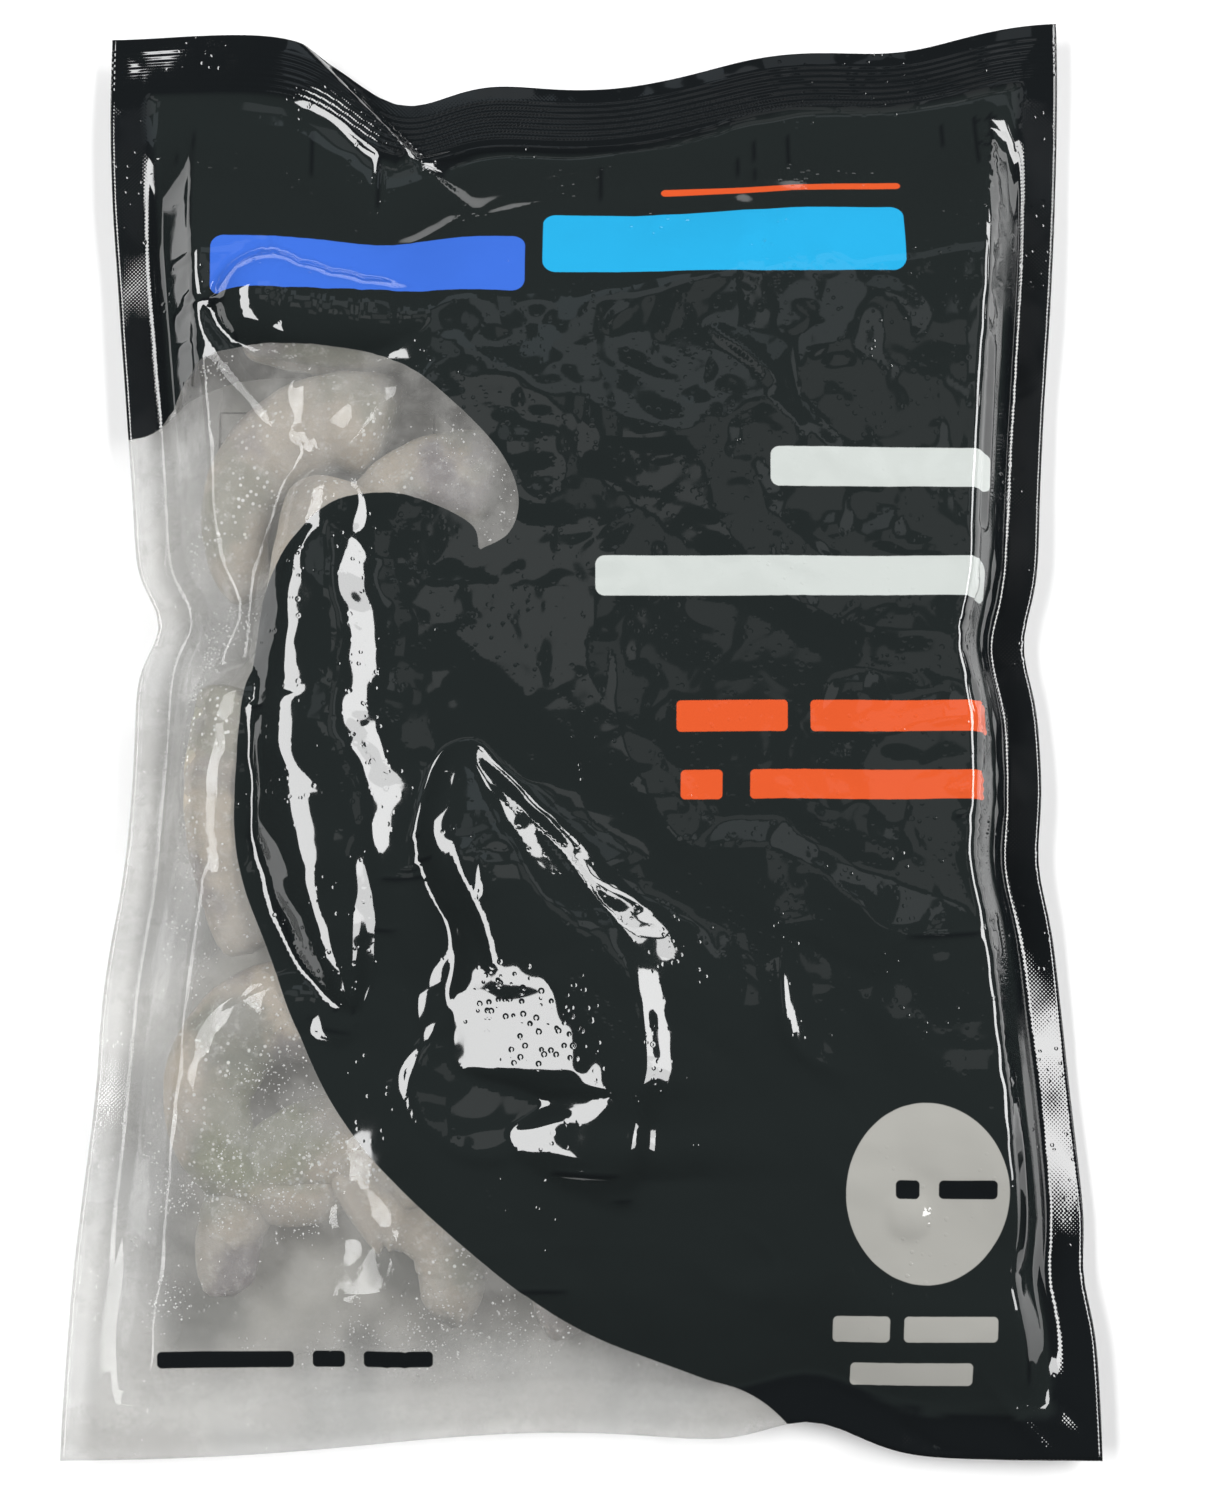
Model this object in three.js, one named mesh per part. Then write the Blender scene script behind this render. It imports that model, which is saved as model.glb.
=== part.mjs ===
// A sealed film pouch of frozen peeled king prawns, lying flat on its back with the printed side up.
// Millimetres, +Z up. X runs across the pouch and Y from its bottom seal to its top seal.
// The origin is below the middle of the pouch, on the surface that it lies on.
//
// The pouch is one welded film bag, so it is one closed solid. Its upper and lower skins are
// height fields over the same wavy outline. A thin flange, the heat seal, runs all round, and
// inside it the film swells over the prawns: each prawn lifts the upper skin along its own curl.

import * as THREE from "three";

// ---- Driving dimensions -------------------------------------------------------------------

const POUCH_WIDTH = 225; // corner to corner
const POUCH_LENGTH = 330;
const SIDE_SEAL = 9; // width of the flat weld along each side
const BOTTOM_SEAL = 9;
const TOP_SEAL = 14; // the crimped weld and its plain lip
const FLANGE_THICK = 1.0; // both films of a seal together
const FLANGE_HEIGHT = 6; // middle of the flange above the table
const FLANGE_DROOP = 0.4; // how far its outer edge hangs below its inner edge

const BODY_RADIUS = 13.5; // a prawn at its thick end, with its ice glaze
const TAIL_SHARE = 0.5; // tail radius as a share of BODY_RADIUS
const TAPER_POWER = 1.6; // above 1, the body keeps its thickness longer and narrows towards the tail
const FILM_REACH = 1.7; // the film leaves a prawn this many of its radii out
const CROWN_POWER = 0.4; // how squarely the film stands up over a prawn
const BLEND_POWER = 16; // how sharply the film turns from one prawn to the next
const LOWER_TURN = 0.5; // below 1, the lower skin turns down closer to the seals than the upper one rises

// How far the film takes to rise from each seal to the belly.
const RISE = { left: 11, right: 8, top: 46, bottom: 24 };

// ---- The outline --------------------------------------------------------------------------
// Filling draws the sides in, and each seal buckles. A dip is a bell curve in one edge:
// at = where along the edge, depth = how far inwards, reach = half its width.

const SIDE_BOW = { left: 11, right: 9 };
const LEFT_DIPS = [
  { at: 21, depth: 5, reach: 9 },
  { at: -62, depth: -1.5, reach: 20 },
];
const RIGHT_DIPS = [
  { at: 14, depth: 3, reach: 11 },
  { at: -36, depth: 2, reach: 12 },
  { at: -126, depth: 1.5, reach: 9 },
];
const TOP_DIPS = [
  { at: 0, depth: 15, reach: 50 },
  { at: -44, depth: 11, reach: 16 },
  { at: 75, depth: 5, reach: 22 },
];
const BOTTOM_DIPS = [
  { at: -5, depth: 6, reach: 55 },
  { at: 50, depth: 6, reach: 14 },
];
const TOP_SKEW = 0.018; // the right corner stands a little further out than the left

const bell = (t, { at, depth, reach }) => depth * Math.exp(-(((t - at) / reach) ** 2));
const dips = (list, t) => list.reduce((sum, dip) => sum + bell(t, dip), 0);
const bow = (y) => Math.cos((Math.PI * y) / POUCH_LENGTH) ** 2;

const leftEdge = (y) => -POUCH_WIDTH / 2 + SIDE_BOW.left * bow(y) + dips(LEFT_DIPS, y);
const rightEdge = (y) => POUCH_WIDTH / 2 - SIDE_BOW.right * bow(y) - dips(RIGHT_DIPS, y);
const topEdge = (x) => POUCH_LENGTH / 2 + TOP_SKEW * x - dips(TOP_DIPS, x);
const bottomEdge = (x) => -POUCH_LENGTH / 2 + dips(BOTTOM_DIPS, x);

// ---- The prawns that the film lies over ---------------------------------------------------
// Each lies curled on its side: x, y = middle of the curl, curl = radius of its bent middle line,
// from = angle of the thick end, sweep = how far it bends round (degrees), axis = height of
// that line above the table.

const PRAWNS = [
  { x: -48, y: 155, curl: 67, from: 249, sweep: 46, axis: 14 },
  { x: -54, y: 41, curl: 25, from: 75, sweep: 135, axis: 7.4 },
  { x: -28, y: 28, curl: 24, from: 75, sweep: 110, axis: 9 },
  { x: 112, y: -4, curl: 174, from: 164, sweep: 34, axis: 17 },
  { x: -1, y: -27, curl: 79, from: 161, sweep: 38, axis: 9.5 },
  { x: -32, y: -78, curl: 42, from: 75, sweep: -115, axis: 17 },
  { x: -6, y: -76, curl: 26, from: 120, sweep: 140, axis: 9 },
  { x: 0, y: -4, curl: 24, from: 200, sweep: -190, axis: 8.5 },
  { x: 18, y: 86, curl: 34, from: 200, sweep: 120, axis: 10 },
  { x: 54, y: 84, curl: 22, from: -60, sweep: 210, axis: 9.5 },
  { x: 36, y: 38, curl: 23, from: 20, sweep: 200, axis: 9.8 },
  { x: 50, y: 12, curl: 20, from: 100, sweep: -200, axis: 9.5 },
  { x: 36, y: -32, curl: 24, from: 150, sweep: -220, axis: 9.8 },
  { x: 55, y: -66, curl: 22, from: 200, sweep: -240, axis: 9.5 },
  { x: 50, y: -122, curl: 23, from: 30, sweep: 170, axis: 7 },
  { x: -2, y: -103, curl: 30, from: 10, sweep: -170, axis: 5.5 },
  { x: -62, y: -88, curl: 20, from: 60, sweep: 230, axis: 7.4 },
  { x: -52, y: -122, curl: 25, from: 40, sweep: 150, axis: 5.5 },
];

// Level of the lower layer of prawns, which the film bridges over: left and right of a bent line,
// with its fall towards the foot of the pouch.
const BEDDING = { left: 20, right: 23, blend: 12, foot: 7, footFrom: 92, footTo: 145 };
const BEDDING_LINE = { at: -57, bend: 500, limit: 12 };

function bedding(x, y) {
  const line = BEDDING_LINE.at + Math.min(y ** 2 / BEDDING_LINE.bend, BEDDING_LINE.limit);
  const toRight = THREE.MathUtils.smoothstep(x, line - BEDDING.blend, line + BEDDING.blend);
  const toFoot = THREE.MathUtils.smoothstep(-y, BEDDING.footFrom, BEDDING.footTo);
  return THREE.MathUtils.lerp(BEDDING.left, BEDDING.right, toRight) - BEDDING.foot * toFoot;
}

// Distance across the ground from (x, y) to a prawn's middle line, and its radius there.
function besidePrawn(prawn, x, y) {
  const from = THREE.MathUtils.degToRad(prawn.from);
  const sweep = THREE.MathUtils.degToRad(prawn.sweep);
  const middle = from + sweep / 2;
  const off = Math.atan2(y - prawn.y, x - prawn.x) - middle;
  const wrapped = Math.atan2(Math.sin(off), Math.cos(off));
  const half = Math.abs(sweep) / 2;
  const angle = THREE.MathUtils.clamp(wrapped, -half, half);
  const along = (Math.sign(sweep) * angle + half) / (2 * half);
  const nearX = prawn.x + prawn.curl * Math.cos(middle + angle);
  const nearY = prawn.y + prawn.curl * Math.sin(middle + angle);
  return {
    distance: Math.hypot(x - nearX, y - nearY),
    radius: BODY_RADIUS * (1 - (1 - TAIL_SHARE) * along ** TAPER_POWER),
  };
}

// Height of the upper skin over the prawns: a smooth maximum of the lower layer and each body.
function overPrawns(x, y) {
  let sum = bedding(x, y) ** BLEND_POWER;
  for (const prawn of PRAWNS) {
    const { distance, radius } = besidePrawn(prawn, x, y);
    const reach = FILM_REACH * radius;
    if (distance >= reach) continue;
    const crown = (1 - (distance / reach) ** 2) ** CROWN_POWER;
    sum += ((prawn.axis + radius) * crown) ** BLEND_POWER;
  }
  return sum ** (1 / BLEND_POWER);
}

// ---- Seals and swell ----------------------------------------------------------------------

// Distances inwards from the four edges.
const insets = (x, y) => ({
  left: x - leftEdge(y),
  right: rightEdge(y) - x,
  top: topEdge(x) - y,
  bottom: y - bottomEdge(x),
});

// How far the film has risen, 0 on the seals and 1 on the belly: a straight slope from each side,
// a quarter of a sine wave from the foot, and half of one over the empty head of the pouch.
function risen(x, y) {
  const inset = insets(x, y);
  const share = (distance, length) => THREE.MathUtils.clamp(distance / length, 0, 1);
  return (
    share(inset.left - SIDE_SEAL, RISE.left) *
    share(inset.right - SIDE_SEAL, RISE.right) *
    Math.sin((Math.PI / 2) * share(inset.bottom - BOTTOM_SEAL, RISE.bottom)) *
    (1 - Math.cos(Math.PI * share(inset.top - TOP_SEAL, RISE.top))) / 2
  );
}

// The flange droops towards its outer edge, more so where the right seal rolls over, and waves
// along its length. Left of a slanting fold the head of the pouch curls up.
const FLANGE_WAVES = [
  { amplitude: 0.5, length: 62, phase: 0.6 },
  { amplitude: 0.12, length: 27, phase: 2.1 },
];
const HEAD_CURL = { height: 4.5, depth: 40, cornerFade: 55 };
const HEAD_FOLD = { at: -52, top: 146, lean: 0.95, width: 3.5 };
const RIGHT_ROLL = { at: -88, depth: 2.6, reach: 27 };

function flangeHeight(x, y) {
  const inset = insets(x, y);
  const nearest = Math.min(inset.left, inset.right, inset.top, inset.bottom);
  const outwards = (distance) => 1 - THREE.MathUtils.clamp(distance / SIDE_SEAL, 0, 1);
  const droop = FLANGE_DROOP * outwards(nearest) + bell(y, RIGHT_ROLL) * outwards(inset.right);
  const wave = FLANGE_WAVES.reduce((sum, { amplitude, length, phase }) => {
    const turn = (2 * Math.PI) / length;
    return sum + amplitude * Math.sin(turn * x + phase) * Math.cos(turn * y - phase);
  }, 0);
  const foldX = HEAD_FOLD.at + HEAD_FOLD.lean * (HEAD_FOLD.top - y);
  const halfFold = HEAD_FOLD.width / 2;
  const beforeFold = 1 - THREE.MathUtils.smoothstep(x, foldX - halfFold, foldX + halfFold);
  const pastCorner = THREE.MathUtils.smoothstep(inset.left, 0, HEAD_CURL.cornerFade);
  const nearTop = 1 - THREE.MathUtils.smoothstep(inset.top, 0, HEAD_CURL.depth);
  return FLANGE_HEIGHT - droop + wave + HEAD_CURL.height * beforeFold * pastCorner * nearTop;
}

function upperSkin(x, y) {
  const flange = flangeHeight(x, y) + FLANGE_THICK / 2;
  return flange + risen(x, y) * (overPrawns(x, y) - flange);
}

// The contents press the lower skin flat onto the table, up to where it turns up to the seals.
function lowerSkin(x, y) {
  const flange = flangeHeight(x, y) - FLANGE_THICK / 2;
  return flange * (1 - risen(x, y) ** LOWER_TURN);
}

// ---- The mesh -----------------------------------------------------------------------------

const CLIMB_LINES = [2.7, 5.4, 8.1, 10.8]; // distances in from a seal where the film climbs
const BELLY_STEPS = { across: 38, along: 60 };

// Grid lines across one direction: two along each seal, closer ones where the film climbs, and
// even ones over the belly. An even number of steps, so that the lower skin can take every
// second line.
function gridLines(length, firstSeal, lastSeal, bellySteps) {
  const first = [0, firstSeal / 2, firstSeal, ...CLIMB_LINES.map((c) => firstSeal + c)];
  const last = [0, lastSeal / 2, lastSeal, ...CLIMB_LINES.map((c) => lastSeal + c)];
  const start = first.at(-1);
  const end = length - last.at(-1);
  const belly = Array.from({ length: bellySteps - 1 }, (_, i) => start + ((end - start) * (i + 1)) / bellySteps);
  return [...first, ...belly, ...last.reverse().map((c) => length - c)].map((c) => c / length);
}

// The point of the film at shares u across and v along, between the four edges.
function filmPoint(u, v, skin) {
  const flatX = (u - 0.5) * POUCH_WIDTH;
  const flatY = (v - 0.5) * POUCH_LENGTH;
  const x = THREE.MathUtils.lerp(leftEdge(flatY), rightEdge(flatY), u);
  const y = THREE.MathUtils.lerp(bottomEdge(flatX), topEdge(flatX), v);
  return [x, y, skin(x, y)];
}

// Both skins in one closed surface. The lower skin has every second grid line, and the outer edge
// joins two fine steps above to one coarse step below.
function pouchGeometry() {
  const across = gridLines(POUCH_WIDTH, SIDE_SEAL, SIDE_SEAL, BELLY_STEPS.across);
  const along = gridLines(POUCH_LENGTH, BOTTOM_SEAL, TOP_SEAL, BELLY_STEPS.along);
  const positions = [];
  const triangles = [];

  const addSkin = (us, vs, skin, facesUp) => {
    const start = positions.length / 3;
    for (const v of vs) for (const u of us) positions.push(...filmPoint(u, v, skin));
    const at = (i, j) => start + j * us.length + i;
    for (let j = 0; j < vs.length - 1; j++) {
      for (let i = 0; i < us.length - 1; i++) {
        const [a, b, c, d] = [at(i, j), at(i + 1, j), at(i + 1, j + 1), at(i, j + 1)];
        if (facesUp) triangles.push(a, b, c, a, c, d);
        else triangles.push(a, c, b, a, d, c);
      }
    }
    return at;
  };
  const everySecond = (lines) => lines.filter((_, i) => i % 2 === 0);
  const upper = addSkin(across, along, upperSkin, true);
  const lower = addSkin(everySecond(across), everySecond(along), lowerSkin, false);

  // One strip of the outer edge, between upper points t and lower points l along a side.
  const addEdge = (steps, t, l, flip) => {
    const push = (a, b, c) => (flip ? triangles.push(a, c, b) : triangles.push(a, b, c));
    for (let k = 0; k < steps; k += 2) {
      push(t(k), l(k / 2), t(k + 1));
      push(t(k + 1), l(k / 2), l(k / 2 + 1));
      push(t(k + 1), l(k / 2 + 1), t(k + 2));
    }
  };
  const nu = across.length - 1;
  const nv = along.length - 1;
  addEdge(nu, (k) => upper(k, 0), (k) => lower(k, 0), false);
  addEdge(nu, (k) => upper(k, nv), (k) => lower(k, nv / 2), true);
  addEdge(nv, (k) => upper(0, k), (k) => lower(0, k), true);
  addEdge(nv, (k) => upper(nu, k), (k) => lower(nu / 2, k), false);

  const geometry = new THREE.BufferGeometry();
  geometry.setAttribute("position", new THREE.Float32BufferAttribute(positions, 3));
  geometry.setIndex(triangles);
  geometry.computeVertexNormals();
  return geometry;
}

// ---- The part -----------------------------------------------------------------------------

const printedFilm = new THREE.MeshStandardMaterial({ color: 0x15191c, roughness: 0.18, metalness: 0 });

const pouch = new THREE.Mesh(pouchGeometry(), printedFilm);
pouch.name = "prawn_pouch";

const part = new THREE.Group();
part.add(pouch);

export default part;
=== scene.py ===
"""A sealed film pouch of frozen peeled king prawns, lying on its back.

The printed film is draped over the prawns by a small relaxation in numpy: the film starts taut,
is given a little slack, and settles until every link has its length again. The prawns, the frost
and the film take the place of the plain solid pouch.

Driving sizes are in millimetres, as in the part's source. MM turns them into Blender's metres.
"""

import math

import bpy
import numpy as np
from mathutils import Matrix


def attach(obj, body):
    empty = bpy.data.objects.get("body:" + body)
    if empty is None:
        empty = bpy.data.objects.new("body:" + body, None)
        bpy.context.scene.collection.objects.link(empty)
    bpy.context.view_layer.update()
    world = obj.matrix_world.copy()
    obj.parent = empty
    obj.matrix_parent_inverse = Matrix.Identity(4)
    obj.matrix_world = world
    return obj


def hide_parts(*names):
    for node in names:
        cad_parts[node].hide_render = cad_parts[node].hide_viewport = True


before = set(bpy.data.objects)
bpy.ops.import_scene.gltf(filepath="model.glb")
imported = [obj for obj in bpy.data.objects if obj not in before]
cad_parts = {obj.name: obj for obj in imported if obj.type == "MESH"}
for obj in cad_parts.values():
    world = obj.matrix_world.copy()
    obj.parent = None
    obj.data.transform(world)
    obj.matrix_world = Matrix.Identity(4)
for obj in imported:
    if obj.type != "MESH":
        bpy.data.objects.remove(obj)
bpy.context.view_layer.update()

MM = 0.001

# ---- The pouch: the same driving sizes as the solid it stands for ---------------------------

POUCH_WIDTH = 225.0
POUCH_LENGTH = 330.0
SIDE_SEAL = 9.0
BOTTOM_SEAL = 9.0
TOP_SEAL = 14.0
FLANGE_HEIGHT = 6.0
FLANGE_DROOP = 0.4
SEAL_HALF_THICK = 0.25  # half the thickness of the two welded films
LOWER_TURN = 0.5  # power of the rise with which the back turns down to the table
RISE = {"left": 11.0, "right": 8.0, "top": 46.0, "bottom": 24.0}  # widths over which the film rises

SIDE_BOW = {"left": 11.0, "right": 9.0}  # how far the sides are drawn in at mid length
TOP_SKEW = 0.018  # slope of the top edge
# A dip is a bell curve in one edge: where along it, how deep, and half its width.
LEFT_DIPS = [(21, 5, 9), (-62, -1.5, 20)]
RIGHT_DIPS = [(14, 3, 11), (-36, 2, 12), (-126, 1.5, 9)]
TOP_DIPS = [(0, 15, 50), (-44, 11, 16), (75, 5, 22)]
BOTTOM_DIPS = [(-5, 6, 55), (50, 6, 14)]

# The flange's long waves, and the curl of the pouch's head left of its fold.
FLANGE_WAVES = [(0.5, 62, 0.6), (0.12, 27, 2.1)]  # amplitude, length, phase
HEAD_CURL = {
    "height": 4.5, "fold_at": -52, "fold_top": 146, "fold_lean": 0.95, "fold_width": 3.5, "depth": 40,
    "corner_fade": 55,
}
RIGHT_ROLL = (-88, 2.6, 27)  # a bell of extra droop in the right seal
CORNER_FOLDS = [  # in the bottom right corner: points, height, half width
    ([(58, -150), (72, -155), (90, -154), (108, -158)], 1.2, 1.6),
    ([(84, -144), (92, -153), (103, -166)], 1.0, 1.4),
    ([(98, -140), (101, -150), (110, -160)], -0.8, 1.4),
    ([(66, -156), (78, -163), (92, -165)], -0.7, 1.3),
]

# ---- The prawns -----------------------------------------------------------------------------
# Each lies curled on its side: middle of the curl, radius of its bent middle line, angle of the
# thick end, how far it bends round (degrees), and height of its axis above the table.

BODY_RADIUS = 13.5
TAIL_SHARE = 0.5  # the tail's radius, as a share of the thick end's
TAPER_POWER = 1.6
PRAWNS = [
    (-48, 155, 67, 249, 46, 14),
    (-54, 41, 25, 75, 135, 7.4),
    (-28, 28, 24, 75, 110, 9),
    (112, -4, 174, 164, 34, 14.5),
    (0.5, -27, 79, 161, 38, 9.5),
    (-32, -78, 42, 75, -115, 14.5),
    (-6, -76, 26, 120, 140, 9),
    (0, -4, 24, 200, -190, 8.5),
    (18, 86, 34, 200, 120, 10),
    (54, 84, 22, -60, 210, 9.5),
    (36, 38, 23, 20, 200, 9.8),
    (50, 12, 20, 100, -200, 9.5),
    (36, -32, 24, 150, -220, 9.8),
    (55, -66, 22, 200, -240, 9.5),
    (50, -122, 23, 30, 170, 7),
    (2, -86, 25, 10, -170, 5),
    (-62, -88, 20, 60, 230, 7.4),
    (-52, -122, 25, 40, 150, 5.5),
    (-43, -124, 15, 115, -150, 4),
    (-15, -121, 15, 100, -160, 4),
]


# ---- Small numeric tools --------------------------------------------------------------------


def smooth_step(value, low, high):
    """0 below low, 1 above high, and an S-shaped cubic between them."""
    share = np.clip((value - low) / (high - low), 0, 1)
    return share * share * (3 - 2 * share)


def bells(position, dips):
    """Sum of bell curves, each depth times e to the minus squared distance over its reach."""
    return sum(depth * np.exp(-(((position - at) / reach) ** 2)) for at, depth, reach in dips)


def smooth_noise(shape, cell, seed):
    """Random values on a grid of cells, joined by cubic curves both ways. Its spread is about 1."""
    rng = np.random.default_rng(seed)
    rows, columns = (np.arange(n) / cell for n in shape)
    knots = rng.normal(size=(int(rows[-1]) + 5, int(columns[-1]) + 5))

    def weights(share):
        """Catmull-Rom's shares of four knots, between the middle two."""
        cube, square = share**3, share**2
        return (
            (-cube + 2 * square - share) / 2,
            (3 * cube - 5 * square + 2) / 2,
            (-3 * cube + 4 * square + share) / 2,
            (cube - square) / 2,
        )

    row, column = rows.astype(int), columns.astype(int)
    along = sum(w[:, None] * knots[row + k] for k, w in enumerate(weights(rows - row)))
    return sum(w * along[:, column + k] for k, w in enumerate(weights(columns - column)))


def spline(points, steps=10):
    """A curve through all points, by Catmull-Rom's cubic between each two."""
    points = np.asarray(points, float)
    ends = np.vstack([2 * points[0] - points[1], points, 2 * points[-1] - points[-2]])
    share = np.linspace(0, 1, steps, endpoint=False)[:, None, None]
    a, b, c, d = ends[:-3], ends[1:-2], ends[2:-1], ends[3:]
    square, cube = 2 * a - 5 * b + 4 * c - d, 3 * b - a - 3 * c + d
    curve = (2 * b + (c - a) * share + square * share**2 + cube * share**3) / 2
    return np.vstack([curve.transpose(1, 0, 2).reshape(-1, points.shape[1]), points[-1]])


def beside_line(line, x, y):
    """Distance to a line of points, and how far along the line its nearest place is, 0 to 1.

    The distance is positive to the left of the way that the line runs, and negative to its right.
    """
    nearest, at, side = np.full(x.shape, 1e9), np.zeros(x.shape), np.ones(x.shape)
    for number, ((x0, y0), (x1, y1)) in enumerate(zip(line[:-1], line[1:])):
        run, rise = x1 - x0, y1 - y0
        share = np.clip(((x - x0) * run + (y - y0) * rise) / (run**2 + rise**2 + 1e-12), 0, 1)
        apart = (x - x0 - share * run) ** 2 + (y - y0 - share * rise) ** 2
        closer = apart < nearest
        nearest, at = np.where(closer, apart, nearest), np.where(closer, number + share, at)
        side = np.where(closer, np.where(run * (y - y0) > rise * (x - x0), 1, -1), side)
    return side * np.sqrt(nearest), at / (len(line) - 1)


# ---- The pouch's plan and flange ------------------------------------------------------------


def left_edge(y):
    """Bowed in by a squared cosine, with dips."""
    bow = SIDE_BOW["left"] * np.cos(np.pi * y / POUCH_LENGTH) ** 2
    return -POUCH_WIDTH / 2 + bow + bells(y, LEFT_DIPS)


def right_edge(y):
    """Bowed in likewise."""
    bow = SIDE_BOW["right"] * np.cos(np.pi * y / POUCH_LENGTH) ** 2
    return POUCH_WIDTH / 2 - bow - bells(y, RIGHT_DIPS)


def top_edge(x):
    """A slightly slanting line with dips."""
    return POUCH_LENGTH / 2 + TOP_SKEW * x - bells(x, TOP_DIPS)


def bottom_edge(x):
    """A level line with dips."""
    return -POUCH_LENGTH / 2 + bells(x, BOTTOM_DIPS)


def plan(across, along):
    """Ground plan of the film at shares across and along it, stretched between the four edges."""
    flat_x, flat_y = (across - 0.5) * POUCH_WIDTH, (along - 0.5) * POUCH_LENGTH
    x = left_edge(flat_y) * (1 - across) + right_edge(flat_y) * across
    y = bottom_edge(flat_x) * (1 - along) + top_edge(flat_x) * along
    return x, y


def insets(x, y):
    """Distances inwards from the left, right, top and bottom edge."""
    return x - left_edge(y), right_edge(y) - x, top_edge(x) - y, y - bottom_edge(x)


def past_seal(x, y):
    """Distance inwards from the inner edge of the nearest seal, less than 0 on a seal."""
    left, right, top, bottom = insets(x, y)
    return np.minimum(
        np.minimum(left - SIDE_SEAL, right - SIDE_SEAL), np.minimum(top - TOP_SEAL, bottom - BOTTOM_SEAL)
    )


def risen(x, y):
    """How far the film may have risen, 0 on the seals to 1.

    It is a straight slope from each side, a quarter of a sine wave from the foot, and half of one
    from the head.
    """
    left, right, top, bottom = insets(x, y)

    def slope(inset, length):
        return np.clip(inset / length, 0, 1)

    return (
        slope(left - SIDE_SEAL, RISE["left"])
        * slope(right - SIDE_SEAL, RISE["right"])
        * np.sin(np.pi / 2 * slope(bottom - BOTTOM_SEAL, RISE["bottom"]))
        * (1 - np.cos(np.pi * slope(top - TOP_SEAL, RISE["top"]))) / 2
    )


def flange(x, y):
    """Height of the flange: a level less the droop of its outer edge, plus waves and the head's curl."""
    left, right, top, bottom = insets(x, y)
    nearest = np.minimum(np.minimum(left, right), np.minimum(top, bottom))
    height = FLANGE_HEIGHT - FLANGE_DROOP * (1 - np.clip(nearest / SIDE_SEAL, 0, 1))
    for amplitude, length, phase in FLANGE_WAVES:
        turn = 2 * np.pi / length
        height = height + amplitude * np.sin(turn * x + phase) * np.cos(turn * y - phase)
    half_fold = HEAD_CURL["fold_width"] / 2
    fold_x = HEAD_CURL["fold_at"] + HEAD_CURL["fold_lean"] * (HEAD_CURL["fold_top"] - y)
    before_fold = 1 - smooth_step(x, fold_x - half_fold, fold_x + half_fold)
    past_corner = smooth_step(left, 0, HEAD_CURL["corner_fade"])
    near_top = 1 - smooth_step(top, 0, HEAD_CURL["depth"])
    height = height - bells(y, [RIGHT_ROLL]) * (1 - np.clip(right / SIDE_SEAL, 0, 1))
    for fold in CORNER_FOLDS:
        height = height + crease(*fold, x, y)
    return height + HEAD_CURL["height"] * before_fold * past_corner * near_top


# ---- The contents that hold the film up -----------------------------------------------------

FIELD_STEP = 0.75  # spacing of the height field
FIELD_X = np.arange(-118, 118, FIELD_STEP)
FIELD_Y = np.arange(-172, 172, FIELD_STEP)
CROWN_SQUARE = 2.15  # a glazed prawn's crown is a little flatter than round
SEGMENTS = 6
SEGMENT_DENT = 0.03  # depth of the dents between a glazed prawn's segments, as a share of its radius
SEGMENT_DENT_WIDTH = 0.16  # as a share of a segment

# The lower layer of prawns and ice: its level left and right of a bent line, and its fall at the foot.
BEDDING = {"left": 20.5, "right": 23.6, "blend": 12, "foot": 7.0, "foot_from": 92, "foot_to": 145}
BEDDING_LINE = {"at": -57, "middle": 0, "bend": 500, "limit": 12}
BEDDING_NOISE = [(20, 0.25, 32), (8, 0.12, 33)]  # cell, height and seed
HOLLOW = {"x": -25, "y": -68, "half_width": 14, "half_length": 18, "depth": 2.5}  # in the curled prawn
FACET = {"x": 8.5, "y": -19.4, "bearing": 228, "slope": 0.10, "limit": 20}  # falls past a slanting line

# A lump of ice between prawns.
LUMP = {"x": -48, "y": 68, "half_width": 22, "half_length": 9, "height": 22.5, "slope_y": -0.1}
LUMP_DROP = 4.0  # how far it has fallen at its rim
LUMP_WARP = {"by": 3.2, "cell": 12, "seeds": (34, 35)}  # its outline wavers by this much

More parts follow.
